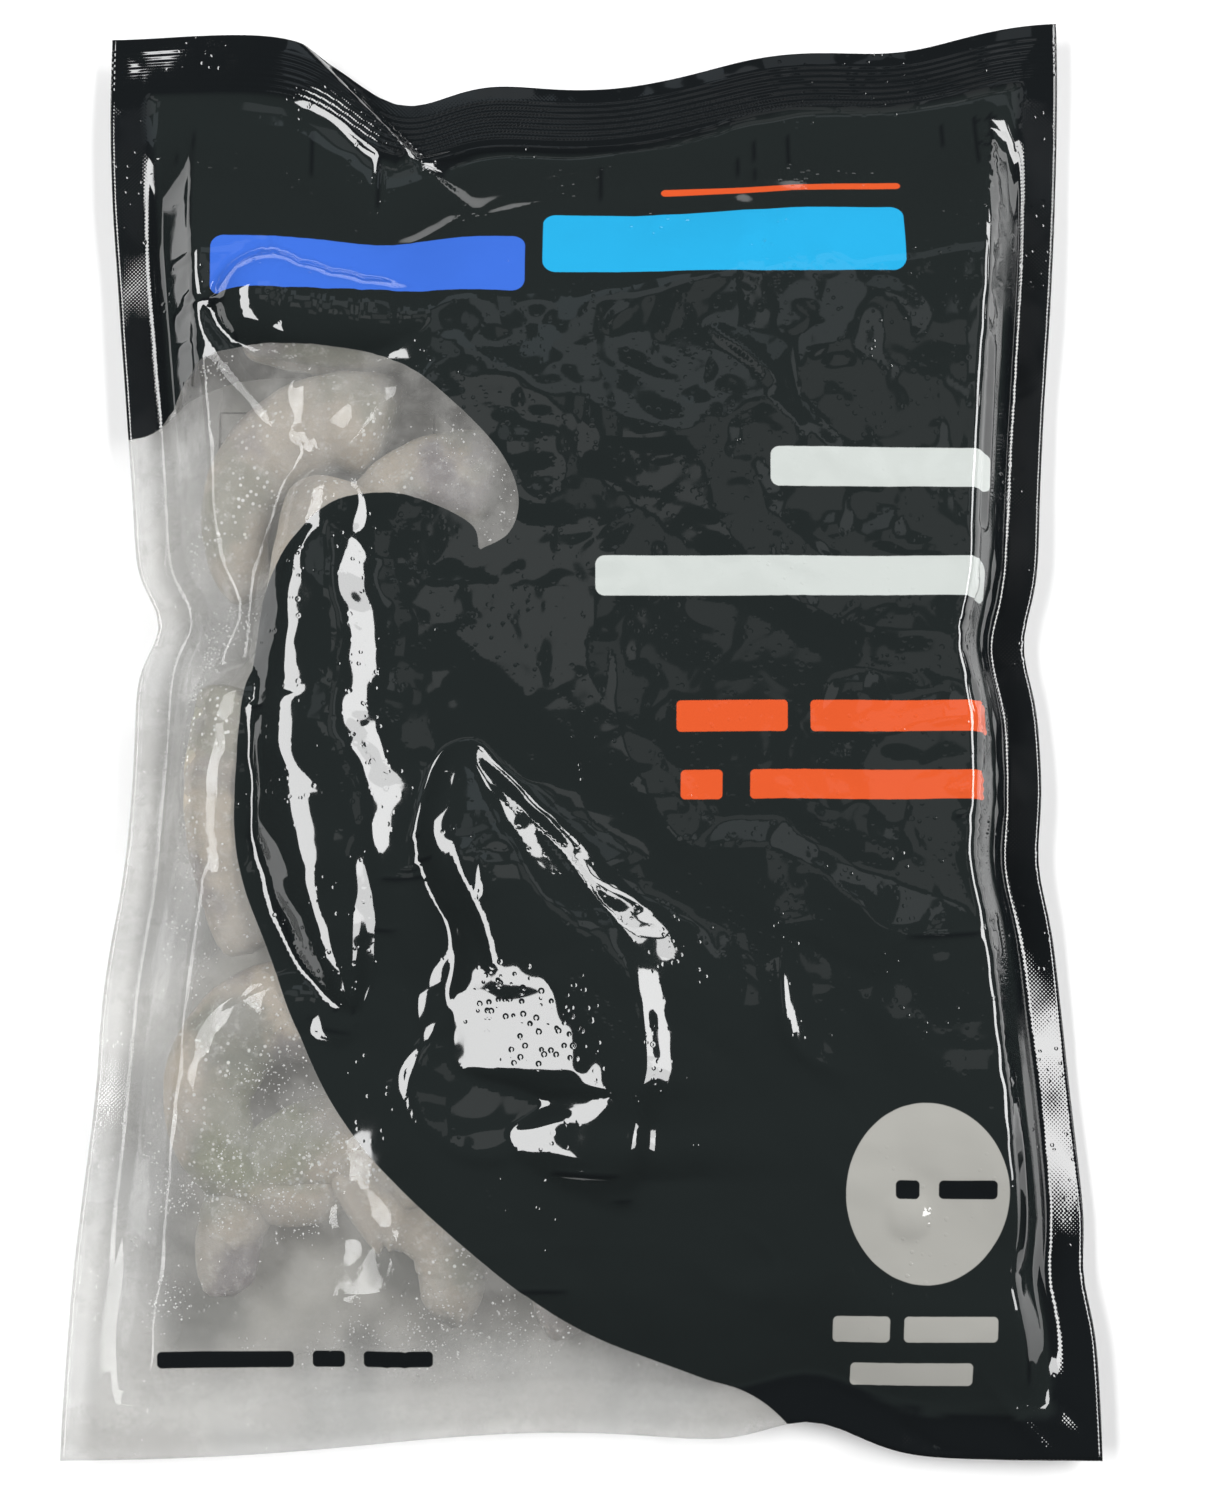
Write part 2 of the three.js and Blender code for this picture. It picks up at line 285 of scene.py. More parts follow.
# Humps where the film is stretched over the two tallest prawns, from top to bottom. Each row is y,
# height, right edge, reach of the right flank, shoulder, slope left of it, left edge, slope, and turn.
HUMPS = [
    [(66, 22.5, -44, 5, -50, 0, -48, 1.2, 2.5), (58, 24.8, -46, 6, -50, 0, -50, 1.2, 2.5),
     (50, 26.6, -50, 8, -55, 0, -55.5, 1.2, 2.5), (40, 28.2, -57, 11, -60, 0, -60.5, 1.2, 2.5),
     (28, 28.9, -56.8, 8, -60, 0, -64.5, 1.2, 2.6), (16, 29.1, -54.9, 7.5, -60, 0, -65.5, 1.2, 3.2),
     (5, 29.1, -55.0, 8, -60, 0, -67, 1.2, 5), (-6, 29.2, -55.6, 8, -60, 0, -67.5, 1.2, 4),
     (-12, 29.3, -55.8, 9, -60, 0, -67.0, 1.2, 4), (-18, 29.5, -55.0, 11.5, -60, 0, -66.5, 1.2, 6),
     (-28, 29.7, -52, 10.5, -57, 0, -65.5, 1.2, 7.5), (-37, 29.0, -52, 8, -57, 0, -62, 1.2, 4.5),
     (-47, 27.6, -51.4, 6, -54, 0, -59, 1.2, 3), (-57, 25.8, -50.6, 4, -52, 0, -56.4, 1.2, 2.5),
     (-66, 23.5, -50, 3, -51, 0, -53, 1.2, 2)],
    [(-8, 21.5, -26, 4, -28, 0, -30, 0.9, 2.5), (-14, 25.0, -24.5, 4, -28, 0, -30, 0.9, 2.5),
     (-21, 27.0, -22.4, 6, -26, 0, -30.5, 0.9, 3), (-30, 28.6, -18.5, 7.5, -24, 0, -31.5, 0.9, 3.5),
     (-38, 29.4, -13.8, 8.5, -22, 0, -29.3, 0.9, 4), (-45, 29.9, -9.3, 9.5, -18, 0.06, -26, 0.9, 4.5),
     (-50, 30.1, -4.3, 10, -13, 0.16, -24, 0.9, 4.5), (-56, 30.2, 2.6, 8.5, -9, 0.26, -24, 0.8, 4),
     (-62, 30.2, 8.4, 6, -8, 0.33, -26, 0.5, 3), (-68, 30.1, 11.2, 5, -3, 0.33, -28, 0.2, 3),
     (-75, 30.0, 12.4, 4.5, 3, 0.31, -27, 0, 3), (-82, 29.8, 12.2, 4.5, 6, 0.30, -27, 0, 3),
     (-86, 29.4, 11.6, 4.5, 6, 0.42, -22, 0.3, 3), (-89, 28.6, 11.2, 4.5, 6, 0.52, -20, 0.3, 3),
     (-94, 27.4, 10.6, 4, 4, 0.31, -17, 0.2, 3), (-99, 27.0, 10, 4, 3, 0.31, -15, 0.2, 3),
     (-103, 25.4, 9, 4, 3, 0.31, -13, 0.2, 3), (-108, 22.0, 8, 4, 3, 0.3, -10, 0.2, 3)],
]
END_FALL = 0.6  # slope of a hump past its first and its last row
FLANK_SLOPE = 0.30  # steepest slope of a very wide right flank
FLANK_SHARPER = 1.65  # a narrower one is steeper by this over its reach
FLANK_FOOT = 24.0  # reach of the gentler rest of the right flank
BELL_SLOPE = math.sqrt(2 / math.e)  # steepest slope of e to the minus squared distance
HUMP_NOISE = [(10, 0.12, 36), (5, 0.06, 37)]  # cell, height and seed


def beside_prawn(prawn, x, y):
    """Ground distance to a prawn's bent middle line, its radius there and the share along it.

    The line is an arc. The angle is counted from the middle of the arc and stopped at its ends,
    and the radius falls from the thick end as a power of the share along.
    """
    middle_x, middle_y, curl, start, sweep, _ = prawn
    start, sweep = math.radians(start), math.radians(sweep)
    off = np.arctan2(y - middle_y, x - middle_x) - (start + sweep / 2)
    half = abs(sweep) / 2
    angle = np.clip(np.arctan2(np.sin(off), np.cos(off)), -half, half)
    share = (math.copysign(1, sweep) * angle + half) / (2 * half)
    bearing = start + sweep / 2 + angle
    distance = np.hypot(x - middle_x - curl * np.cos(bearing), y - middle_y - curl * np.sin(bearing))
    return distance, BODY_RADIUS * (1 - (1 - TAIL_SHARE) * share**TAPER_POWER), share


def bedding(x, y):
    """Level of the lower layer: two levels that blend over a parabola, less its falls.

    It falls to the foot, into a bell-shaped hollow, and evenly past a slanting line.
    """
    bend = np.minimum((y - BEDDING_LINE["middle"]) ** 2 / BEDDING_LINE["bend"], BEDDING_LINE["limit"])
    line = BEDDING_LINE["at"] + bend
    to_right = smooth_step(x, line - BEDDING["blend"], line + BEDDING["blend"])
    level = BEDDING["left"] + (BEDDING["right"] - BEDDING["left"]) * to_right
    level = level - BEDDING["foot"] * smooth_step(-y, BEDDING["foot_from"], BEDDING["foot_to"])
    off_x, off_y = (x - HOLLOW["x"]) / HOLLOW["half_width"], (y - HOLLOW["y"]) / HOLLOW["half_length"]
    bearing = math.radians(FACET["bearing"])
    past_line = (x - FACET["x"]) * math.cos(bearing) + (y - FACET["y"]) * math.sin(bearing)
    level = level - HOLLOW["depth"] * np.exp(-(off_x**2) - off_y**2)
    return level - FACET["slope"] * np.clip(past_line, 0, FACET["limit"])


def hump(rows, level, x, y):
    """Height of a hump: a flat top, with two slopes to its left that each turn in over a hyperbola.

    Past the right edge it falls to the level as the sum of a narrow and a wide bell curve.
    """
    rows = spline(rows)
    lean = np.gradient(rows[:, 2], rows[:, 0])
    top, right, reach, shoulder, even, left, steep, turn, lean = (
        np.interp(-y, -rows[:, 0], column) for column in (*rows[:, 1:].T, lean)
    )
    top = top - END_FALL * np.maximum(np.maximum(y - rows[0, 0], rows[-1, 0] - y), 0)
    for edge, slope in ((shoulder, even), (left, steep)):
        past = edge - np.minimum(x, right)
        top = top - slope * (np.hypot(past, turn) + past) / 2
    top = top + sum(rough * smooth_noise(x.shape, cell, seed) for cell, rough, seed in HUMP_NOISE)
    past = np.maximum(x - right, 0)
    rise, skew = top - level, np.hypot(1, lean)
    steepest = FLANK_SLOPE + FLANK_SHARPER / reach
    narrow = (steepest / BELL_SLOPE - rise * skew / FLANK_FOOT) / (1 / reach - skew / FLANK_FOOT)
    narrow = np.clip(narrow, 0, np.maximum(rise, 0))
    beside, foot = np.exp(-((past / skew / reach) ** 2)), np.exp(-((past / FLANK_FOOT) ** 2))
    return level + narrow * beside + (rise - narrow) * foot


def lump(x, y):
    """A sloping plane that drops off as the fourth power of the distance from its wavering middle."""
    x, y = (
        place + LUMP_WARP["by"] * smooth_noise(x.shape, LUMP_WARP["cell"], seed)
        for place, seed in zip((x, y), LUMP_WARP["seeds"])
    )
    beside = ((x - LUMP["x"]) / LUMP["half_width"]) ** 2 + ((y - LUMP["y"]) / LUMP["half_length"]) ** 2
    return LUMP["height"] + LUMP["slope_y"] * (y - LUMP["y"]) - LUMP_DROP * np.minimum(beside, 4) ** 2


def contents_height():
    """Height field of the contents: the highest of the bedding, the lump, the humps and the prawns.

    All but the prawns fall off to the seals with the film. The prawns keep their height.
    """
    x, y = np.meshgrid(FIELD_X, FIELD_Y)
    level = bedding(x, y)
    height = level
    for cell, rough, seed in BEDDING_NOISE:
        height = height + rough * smooth_noise(x.shape, cell, seed)
    height = np.maximum(height, lump(x, y))
    for rows in HUMPS:
        height = np.maximum(height, hump(rows, level, x, y))
    seal = flange(x, y) - SEAL_HALF_THICK
    height = seal + (height - seal) * risen(x, y)
    for prawn in PRAWNS:
        distance, radius, share = beside_prawn(prawn, x, y)
        from_dent = (share * SEGMENTS % 1 - 0.5) / SEGMENT_DENT_WIDTH
        radius = radius * (1 - SEGMENT_DENT * np.exp(-(from_dent**2)))
        beside = np.clip(distance / radius, 0, 1)
        crown = prawn[-1] + radius * np.sqrt(1 - beside**CROWN_SQUARE)
        height = np.maximum(height, np.where(beside < 1, crown, 0))
    return height.astype(np.float32)


def height_under(field, x, y):
    """Value of the height field at any points, straight-line between its nodes."""
    column = np.clip((x - FIELD_X[0]) / FIELD_STEP, 0, len(FIELD_X) - 1.01)
    row = np.clip((y - FIELD_Y[0]) / FIELD_STEP, 0, len(FIELD_Y) - 1.01)
    i, j = column.astype(np.int32), row.astype(np.int32)
    a, b = column - i, row - j
    near = field[j, i] * (1 - a) + field[j, i + 1] * a
    far = field[j + 1, i] * (1 - a) + field[j + 1, i + 1] * a
    return near * (1 - b) + far * b


# ---- Draping the film -----------------------------------------------------------------------

COARSE = (83, 57)  # film points along and across at the first of three levels
SLACK = 0.016  # extra length of the film, as a share of its length when taut
SEAM_SLACK = 0.012  # more of it beside the seals, which the bowed-in edges leave over
SEAM_REACH = 18.0  # how far in from the seals it reaches
TAUT_ROUNDS = 600  # of averaging, before the film is given its slack
MOVE_KEPT = 0.85  # share of each round's movement that the next one keeps
DIAGONAL_PULL = 0.3  # strength of the diagonal links, where the straight ones have 1
LEVELS = [  # rounds of relaxation, downward press each round, stiffness against folding
    (250, 0.010, 0.3),
    (160, 0.008, 0.25),
    (90, 0.008, 0.2),
]


def links_across(grid, skip):
    """Both ends of all links over skip points across the film, in sets that share no point."""
    for first in range(2 * skip):
        far = grid[:, first + skip :: 2 * skip]
        yield grid[:, first :: 2 * skip][:, : far.shape[1]], far


def links_along(grid, skip):
    """The same along the film."""
    for first in range(2 * skip):
        far = grid[first + skip :: 2 * skip]
        yield grid[first :: 2 * skip][: far.shape[0]], far


def links_diagonal(grid):
    """Both ends of the two diagonals of every cell, in sets that share no point."""
    for row in (0, 1):
        for column in (0, 1):
            for near, far in (
                (grid[row:-1:2, column:-1:2], grid[row + 1 :: 2, column + 1 :: 2]),
                (grid[row:-1:2, column + 1 :: 2], grid[row + 1 :: 2, column:-1:2]),
            ):
                rows, columns = min(near.shape[0], far.shape[0]), min(near.shape[1], far.shape[1])
                yield near[:rows, :columns], far[:rows, :columns]


def lengths(links):
    """Distance between the two ends of every link, set by set."""
    return [np.sqrt(((far - near) ** 2).sum(-1)) for near, far in links]


def slackened(links, share_links):
    """Rest length of each link: its length times the mean slack factor of its two ends."""
    shares = [(near + far)[..., 0] / 2 for near, far in share_links]
    return [(length * share).astype(np.float32) for length, share in zip(lengths(links), shares)]


def pull(near, far, rest, strength, only_push=False):
    """Moves both ends of each link, in place, along it by a share of its misfit to rest."""
    apart = far - near
    length = np.sqrt(apart[..., 0] ** 2 + apart[..., 1] ** 2 + apart[..., 2] ** 2) + 1e-9
    misfit = (length - rest) / length
    if only_push:
        misfit = np.minimum(misfit, 0)
    apart *= (0.5 * strength * misfit)[..., None]
    near += apart
    far -= apart


def relax(points, taut, slack_across, slack_along, field, free, rounds, press, stiffness):
    """Settles the film.

    Each round keeps most of the last round's movement, presses the film down, restores all links'
    lengths in turn, and lifts what has sunk into the contents, with friction.
    """
    across, along = slack_across[..., None], slack_along[..., None]
    rest_across = slackened(links_across(taut, 1), links_across(across, 1))
    rest_along = slackened(links_along(taut, 1), links_along(along, 1))
    rest_diagonal = slackened(links_diagonal(taut), links_diagonal((across + along) / 2))
    fold_across, fold_along = lengths(links_across(points, 2)), lengths(links_along(points, 2))
    fixed, last = points.copy(), points.copy()
    for _ in range(rounds):
        moved = (points - last) * MOVE_KEPT
        last = points.copy()
        points = points + moved
        points[..., 2] -= press
        for (near, far), rest in zip(links_across(points, 1), rest_across):
            pull(near, far, rest, 1)
        for (near, far), rest in zip(links_along(points, 1), rest_along):
            pull(near, far, rest, 1)
        for (near, far), rest in zip(links_diagonal(points), rest_diagonal):
            pull(near, far, rest, DIAGONAL_PULL)
        for (near, far), rest in zip(links_across(points, 2), fold_across):
            pull(near, far, rest, stiffness, only_push=True)
        for (near, far), rest in zip(links_along(points, 2), fold_along):
            pull(near, far, rest, stiffness, only_push=True)
        ground = height_under(field, points[..., 0], points[..., 1])
        sunk = points[..., 2] < ground
        points[..., 2] = np.where(sunk, ground, points[..., 2])
        points[..., :2] = np.where(sunk[..., None], (last + points)[..., :2] / 2, points[..., :2])
        points = fixed + (points - fixed) * free
    return points


def taut_over(field, x, y, rim, inside):
    """A taut film: each point at the mean of its four neighbours, and never below the contents."""
    ground = np.minimum(height_under(field, x, y), rim + risen(x, y) * (2 * field.max() - rim))
    height = np.maximum(rim, ground)
    for _ in range(TAUT_ROUNDS):
        mean = (height[:-2, 1:-1] + height[2:, 1:-1] + height[1:-1, :-2] + height[1:-1, 2:]) / 4
        lifted = np.maximum(mean, ground[1:-1, 1:-1])
        height[1:-1, 1:-1] = np.where(inside[1:-1, 1:-1], lifted, height[1:-1, 1:-1])
    return height


def doubled(grid):
    """The grid with a new point halfway between every two."""
    finer = np.zeros((grid.shape[0] * 2 - 1, grid.shape[1] * 2 - 1, 3), grid.dtype)
    finer[::2, ::2] = grid
    finer[1::2, ::2] = (grid[1:] + grid[:-1]) / 2
    finer[:, 1::2] = (finer[:, 2::2] + finer[:, :-2:2]) / 2
    return finer


def drape_film(field):
    """The upper film on an even grid of points, from coarse to fine."""
    points = taut = None
    for level, (rounds, press, stiffness) in enumerate(LEVELS):
        scale = 2**level
        along, across = (np.linspace(0, 1, (n - 1) * scale + 1) for n in COARSE)
        x, y = plan(across[None, :], along[:, None])
        rim = flange(x, y) + SEAL_HALF_THICK
        inner = past_seal(x, y)
        if level == 0:
            taut = np.stack([x, y, taut_over(field, x, y, rim, inner > 0)], -1).astype(np.float32)
            points = taut.copy()
        else:
            sealed = np.stack([x, y, rim], -1).astype(np.float32)
            on_belly = smooth_step(inner, -1, 0)[..., None].astype(np.float32)
            points, taut = (sealed + (doubled(grid) - sealed) * on_belly for grid in (points, taut))
        left, right, top, bottom = insets(x, y)
        beside_sides = np.exp(-((np.minimum(left, right) - SIDE_SEAL) / SEAM_REACH) ** 2)
        beside_ends = np.exp(-((np.minimum(top - TOP_SEAL, bottom - BOTTOM_SEAL)) / SEAM_REACH) ** 2)
        on = smooth_step(inner, 0, 8)

        def slack(beside, seed):
            ripple, pleats = (smooth_noise(x.shape, cell * scale, seed + cell) for cell in (7, 5))
            return 1 + on * (SLACK * (1 + ripple) + SEAM_SLACK * beside * (1 + pleats))

        free = smooth_step(inner, -0.5, 1.5)[..., None].astype(np.float32)
        points = relax(
            points, taut, slack(beside_ends, level), slack(beside_sides, level + 50), field, free,
            rounds, press, stiffness,
        )
    return points


# ---- Creases --------------------------------------------------------------------------------

LONG_CREASES = [  # points that the crease runs through, height, half width
    ([(-93, 95), (-82, 79), (-63, 56)], 1.3, 2.2),
    ([(-68, -45), (-62, -55), (-54, -67)], 0.8, 1.5),
    ([(-70, -4), (-71, -18), (-66, -33)], 0.7, 1.4),
    ([(-67, -12), (-58, -13), (-47, -11)], -0.12, 0.5),
    ([(-68, 2), (-64, 1), (-58, 2)], -0.3, 0.9),
    ([(-70, 4), (-72, -8), (-68, -28)], 0.6, 1.0),
    ([(-57, 36), (-51, 49), (-41, 57), (-35, 60)], 0.9, 1.2),
    ([(-40, 108), (-10, 118), (12, 121)], 0.7, 2.5),
    ([(27, 86), (38, 78), (46, 70)], 0.8, 1.8),
    ([(-20, -18), (-6, -33), (12, -56)], 1.0, 2.2),
    ([(44, -48), (43, -66), (47, -78), (60, -84)], 1.2, 2.4),
    ([(88, 80), (86, 40), (89, 5), (88, -40)], 0.35, 2.6),
    ([(78, -46), (68, -66), (66, -74)], -0.9, 2.2),
    ([(30, -112), (41, -121), (40, -133)], 0.8, 1.8),
    ([(60, -146), (78, -140), (92, -147)], 0.8, 1.8),
    ([(-96, -60), (-95, -90), (-98, -125)], 0.7, 1.6),
    ([(-94, 22), (-88, 8), (-90, -8)], 0.8, 2.0),
]
# Steps where the film climbs to the right of a line: its points, the rise, its half width, and how
# far on the film has sunk again.
CURLED_LINE = [
    (-8, -95), (-17, -101), (-26, -101), (-34, -96), (-38.5, -86), (-36.5, -79), (-31, -70), (-28, -64),
]
STEPS = [
    (CURLED_LINE, 1.4, 2.2, 9),
    ([(-19, -62), (-22, -52), (-26, -42), (-29, -33)], 1.1, 1.7, 12),
    ([(-21, -46), (-22, -41), (-22, -36)], 0.7, 1.2, 6),
]
SHORT_CREASES = 90
SHORT_WITHIN = (100, 155)  # farthest place of a short crease's middle, across and along
SHORT_LENGTH = (7, 26)
SHORT_HEIGHT = (0.08, 0.30)
SHORT_HALF_WIDTH = (0.7, 1.8)
SHORT_BEND = 1.5  # spread of their middles off a straight line
SEAL_LINES = (100, 150)  # about where the seals begin, across and along
NEAR_SEAL = 25
SPREAD_NEAR_SEAL, SPREAD_INSIDE = 0.35, 1.5  # of the short creases' bearings, in radians


def crease(line, height, half_width, x, y):
    """A sharp ridge: its height falls to both sides as e to the minus distance, and to both its ends."""
    distance, along = beside_line(line, x, y)
    return height * np.exp(-np.abs(distance) / half_width) * (1 - (2 * along - 1) ** 2)


FACETS = [(32, 1.0, 81), (17, 0.16, 82)]  # cell in grid points, height, seed
CRUMPLES = [(14, 0.10, 72), (6, 0.015, 73)]  # likewise
CRUMPLE_LEVEL = 0.8  # the mean of the noise's absolute value
CRUMPLES_START = 14  # they grow to their full height over this distance from the seals
CALM_ABOVE = (26.5, 29.5)  # the film is tight, and so smoother, over the tall prawns
CALM_SHARE = 0.7
LATTICE_SHEAR = {"across": 0.4, "along": 0.2}
LATTICE_BEND = 0.3
LATTICE_BEND_CELL = 1.3  # in cells of the lattice
LATTICE_MARGIN = 2  # cells kept outside the grid, for the shear and the bend


def flat_noise(shape, cell, seed):
    """Random heights at the corners of a bent lattice, joined by flat triangles."""
    rng = np.random.default_rng(seed)
    row, column = np.meshgrid(*(np.arange(n) / cell for n in shape), indexing="ij")
    bend = [LATTICE_BEND * smooth_noise(shape, LATTICE_BEND_CELL * cell, seed + k) for k in (1, 2)]
    fallen = shape[1] / cell * LATTICE_SHEAR["along"]  # at the last column
    across = column + LATTICE_SHEAR["across"] * row + bend[0] + LATTICE_MARGIN
    along = row - LATTICE_SHEAR["along"] * column + bend[1] + LATTICE_MARGIN + fallen
    i, j = np.floor(across).astype(int), np.floor(along).astype(int)
    a, b = across - i, along - j
    knots = rng.normal(size=(j.max() + 2, i.max() + 2))
    near, far = knots[j, i], knots[j + 1, i + 1]
    beside, above = knots[j, i + 1], knots[j + 1, i]
    first = near + a * (beside - near) + b * (above - near)
    second = far + (1 - a) * (above - far) + (1 - b) * (beside - far)
    return np.where(a + b < 1, first, second)


def crumples(points):
    """Flat facets, and plates between sharp bent ridges: less the absolute value of smooth noise."""
    shape = points.shape[:2]
    total = sum(height * flat_noise(shape, cell, seed) for cell, height, seed in FACETS)
    total = total + sum(
        height * (CRUMPLE_LEVEL - np.abs(smooth_noise(shape, cell, seed)))
        for cell, height, seed in CRUMPLES
    )
    calm = 1 - CALM_SHARE * smooth_step(points[..., 2], *CALM_ABOVE)
    return total * calm * smooth_step(past_seal(points[..., 0], points[..., 1]), 0, CRUMPLES_START)


def step(line, rise, half_width, fade, x, y):
    """An S-shaped climb to the right of a line.

    It sinks again as e to the minus distance, and at both of the line's ends.
    """
    distance, along = beside_line(spline(line), x, y)
    climb = smooth_step(-distance, -half_width, half_width) * np.exp(-np.maximum(-distance, 0) / fade)
    return rise * climb * (1 - (2 * along - 1) ** 4)


def creases(x, y):
    """All long creases, and many short ones that run across the nearest seal or any way further in."""
    total = np.zeros(x.shape)
    for points, height, half_width in LONG_CREASES:
        total += crease(spline(points), height, half_width, x, y)
    for sizes in STEPS:
        total += step(*sizes, x, y)
    rng = np.random.default_rng(78)
    for _ in range(SHORT_CREASES):
        middle = rng.uniform(np.negative(SHORT_WITHIN), SHORT_WITHIN)
        to_sides, to_ends = SEAL_LINES - abs(middle)
        across_seal = 0 if to_sides < to_ends else math.pi / 2
        spread = SPREAD_NEAR_SEAL if min(to_sides, to_ends) < NEAR_SEAL else SPREAD_INSIDE
        bearing = across_seal + rng.normal() * spread
        half = rng.uniform(*SHORT_LENGTH) / 2 * np.array([math.cos(bearing), math.sin(bearing)])
        bend = rng.normal(size=2) * SHORT_BEND
        height = rng.uniform(*SHORT_HEIGHT) * rng.choice([-1, 1])
        line = [middle - half, middle + bend, middle + half]
        total += crease(line, height, rng.uniform(*SHORT_HALF_WIDTH), x, y)
    return total * smooth_step(past_seal(x, y), -3, 4)


# ---- Making meshes --------------------------------------------------------------------------


def add_mesh(name, vertices, faces, smooth=True):
    """A mesh object from arrays of vertices in metres and of faces."""
    mesh = bpy.data.meshes.new(name)
    mesh.from_pydata(vertices.tolist(), [], faces.tolist() if isinstance(faces, np.ndarray) else faces)
    if smooth:
        mesh.shade_smooth()
    mesh.update()
    piece = bpy.data.objects.new(name, mesh)
    bpy.context.collection.objects.link(piece)
    return piece


def add_attribute(piece, name, values):
    """A value, or a vector of three, at every vertex, for the materials to read."""
    kind, field = ("FLOAT", "value") if values.ndim == 1 else ("FLOAT_VECTOR", "vector")
    attribute = piece.data.attributes.new(name, kind, "POINT")
    attribute.data.foreach_set(field, np.ascontiguousarray(values, np.float32).ravel())


def grid_faces(start, rows, columns, flip=False):
    """Quads of a grid of vertices that are numbered row by row from start."""
    corner = start + np.arange(rows - 1)[:, None] * columns + np.arange(columns - 1)
    quads = np.stack([corner, corner + 1, corner + columns + 1, corner + columns], -1).reshape(-1, 4)
    return quads[:, ::-1] if flip else quads


# ---- The window in the print ----------------------------------------------------------------
# The clear window is one curve that curls over at its top. Points in order from the left seal,
# over the curl and down to the bottom seal; a smooth curve runs through them.

WINDOW_CURVE = [
    (-116, 63), (-100, 65), (-91, 75), (-78, 80), (-57, 80), (-41, 76), (-28, 66), (-18, 55),
    (-14, 45), (-16, 37), (-22.5, 33), (-24, 38.5), (-32, 43), (-42, 45), (-54, 42), (-63, 35),
    (-69.5, 25), (-73.5, 9), (-76, -9), (-77, -29), (-75, -42), (-70, -55), (-63, -71), (-54, -89),
    (-43, -103), (-28, -117), (-13, -129), (2, -138), (25, -147), (40, -153), (56, -170),
]
CURL_TIP = 10  # the point where the curve turns back sharply


def window_distance(x, y):
    """Distance in from the window's edge, less than 0 outside it.

    The sign comes from counting how often a line to the right crosses the closed outline.
    """
    curve = np.vstack([spline(WINDOW_CURVE[: CURL_TIP + 1]), spline(WINDOW_CURVE[CURL_TIP:])])
    corners = np.array([(curve[-1, 0], -200), (-140, -200), (-140, curve[0, 1])])
    outline = np.vstack([curve, corners, curve[:1]])
    inside = np.zeros(x.shape, bool)
    for (x0, y0), (x1, y1) in zip(outline[:-1], outline[1:]):
        if y0 != y1:
            inside ^= ((y0 > y) != (y1 > y)) & (x < x0 + (x1 - x0) * (y - y0) / (y1 - y0))
    return np.where(inside, 1, -1) * np.abs(beside_line(outline, x, y)[0])


# ---- The film -------------------------------------------------------------------------------

CRIMP_PITCH = 1.5  # ridges of the top seal's weld
CRIMP_HEIGHT = 0.06
CRIMP_FROM, CRIMP_TO = 3.5, 13.0  # where they lie, in from the pouch's top edge
CRIMP_FADE = {"above": 0.6, "below": 0.8}
SEAL_ROWS = 52  # rows of vertices over the top seal
BACK_ROWS = 83
BACK_STEP = 4  # the back takes every fourth point across
BACK_LIFT = 0.2  # above the table
CLING_GAP = (0.45, 0.15)  # painted sheen: the film's black is painted paler where it is this close to the prawns


def crimp(x, y):
    """Height of the weld's ridges, sine waves across the seal that fade out at both its sides."""
    top = top_edge(x) - y
    starts = smooth_step(top, CRIMP_FROM - CRIMP_FADE["above"], CRIMP_FROM)
    ends = smooth_step(top, CRIMP_TO, CRIMP_TO + CRIMP_FADE["below"])
    return CRIMP_HEIGHT * (starts * (1 - ends)) * np.sin(2 * np.pi * top / CRIMP_PITCH)


def with_seal_rows(points):
    """The film's rows below the top seal, then closer rows over it that hold its ridges."""
    along = np.linspace(0, 1, points.shape[0])
    below = along < 1 - (TOP_SEAL + 1) / POUCH_LENGTH
    rows = np.concatenate([along[below], np.linspace(1 - TOP_SEAL / POUCH_LENGTH, 1, SEAL_ROWS)])
    across = np.linspace(0, 1, points.shape[1])
    x, y = plan(across[None, :], rows[:, None])
    flat = np.stack([x, y, np.ones_like(x)], -1)
    seal = np.stack([x, y, flange(x, y) + SEAL_HALF_THICK + crimp(x, y)], -1)[below.sum() :]
    return np.vstack([points[below], seal]), flat


def rim(grid):
    """The outermost entries of a grid, once round."""
    return np.concatenate([grid[0], grid[1:, -1], grid[-1, -2::-1], grid[-2:0:-1, 0]])


def make_back(columns):
    """The plain back, with its own rows: points of the back and their places in the flat film."""
    along = np.linspace(0, 1, BACK_ROWS)
    across = np.linspace(0, 1, (columns - 1) // BACK_STEP + 1)
    x, y = plan(across[None, :], along[:, None])
    z = (flange(x, y) - SEAL_HALF_THICK) * (1 - risen(x, y) ** LOWER_TURN) + BACK_LIFT
    return np.stack([x, y, z], -1), np.stack([x, y, np.zeros_like(x)], -1)


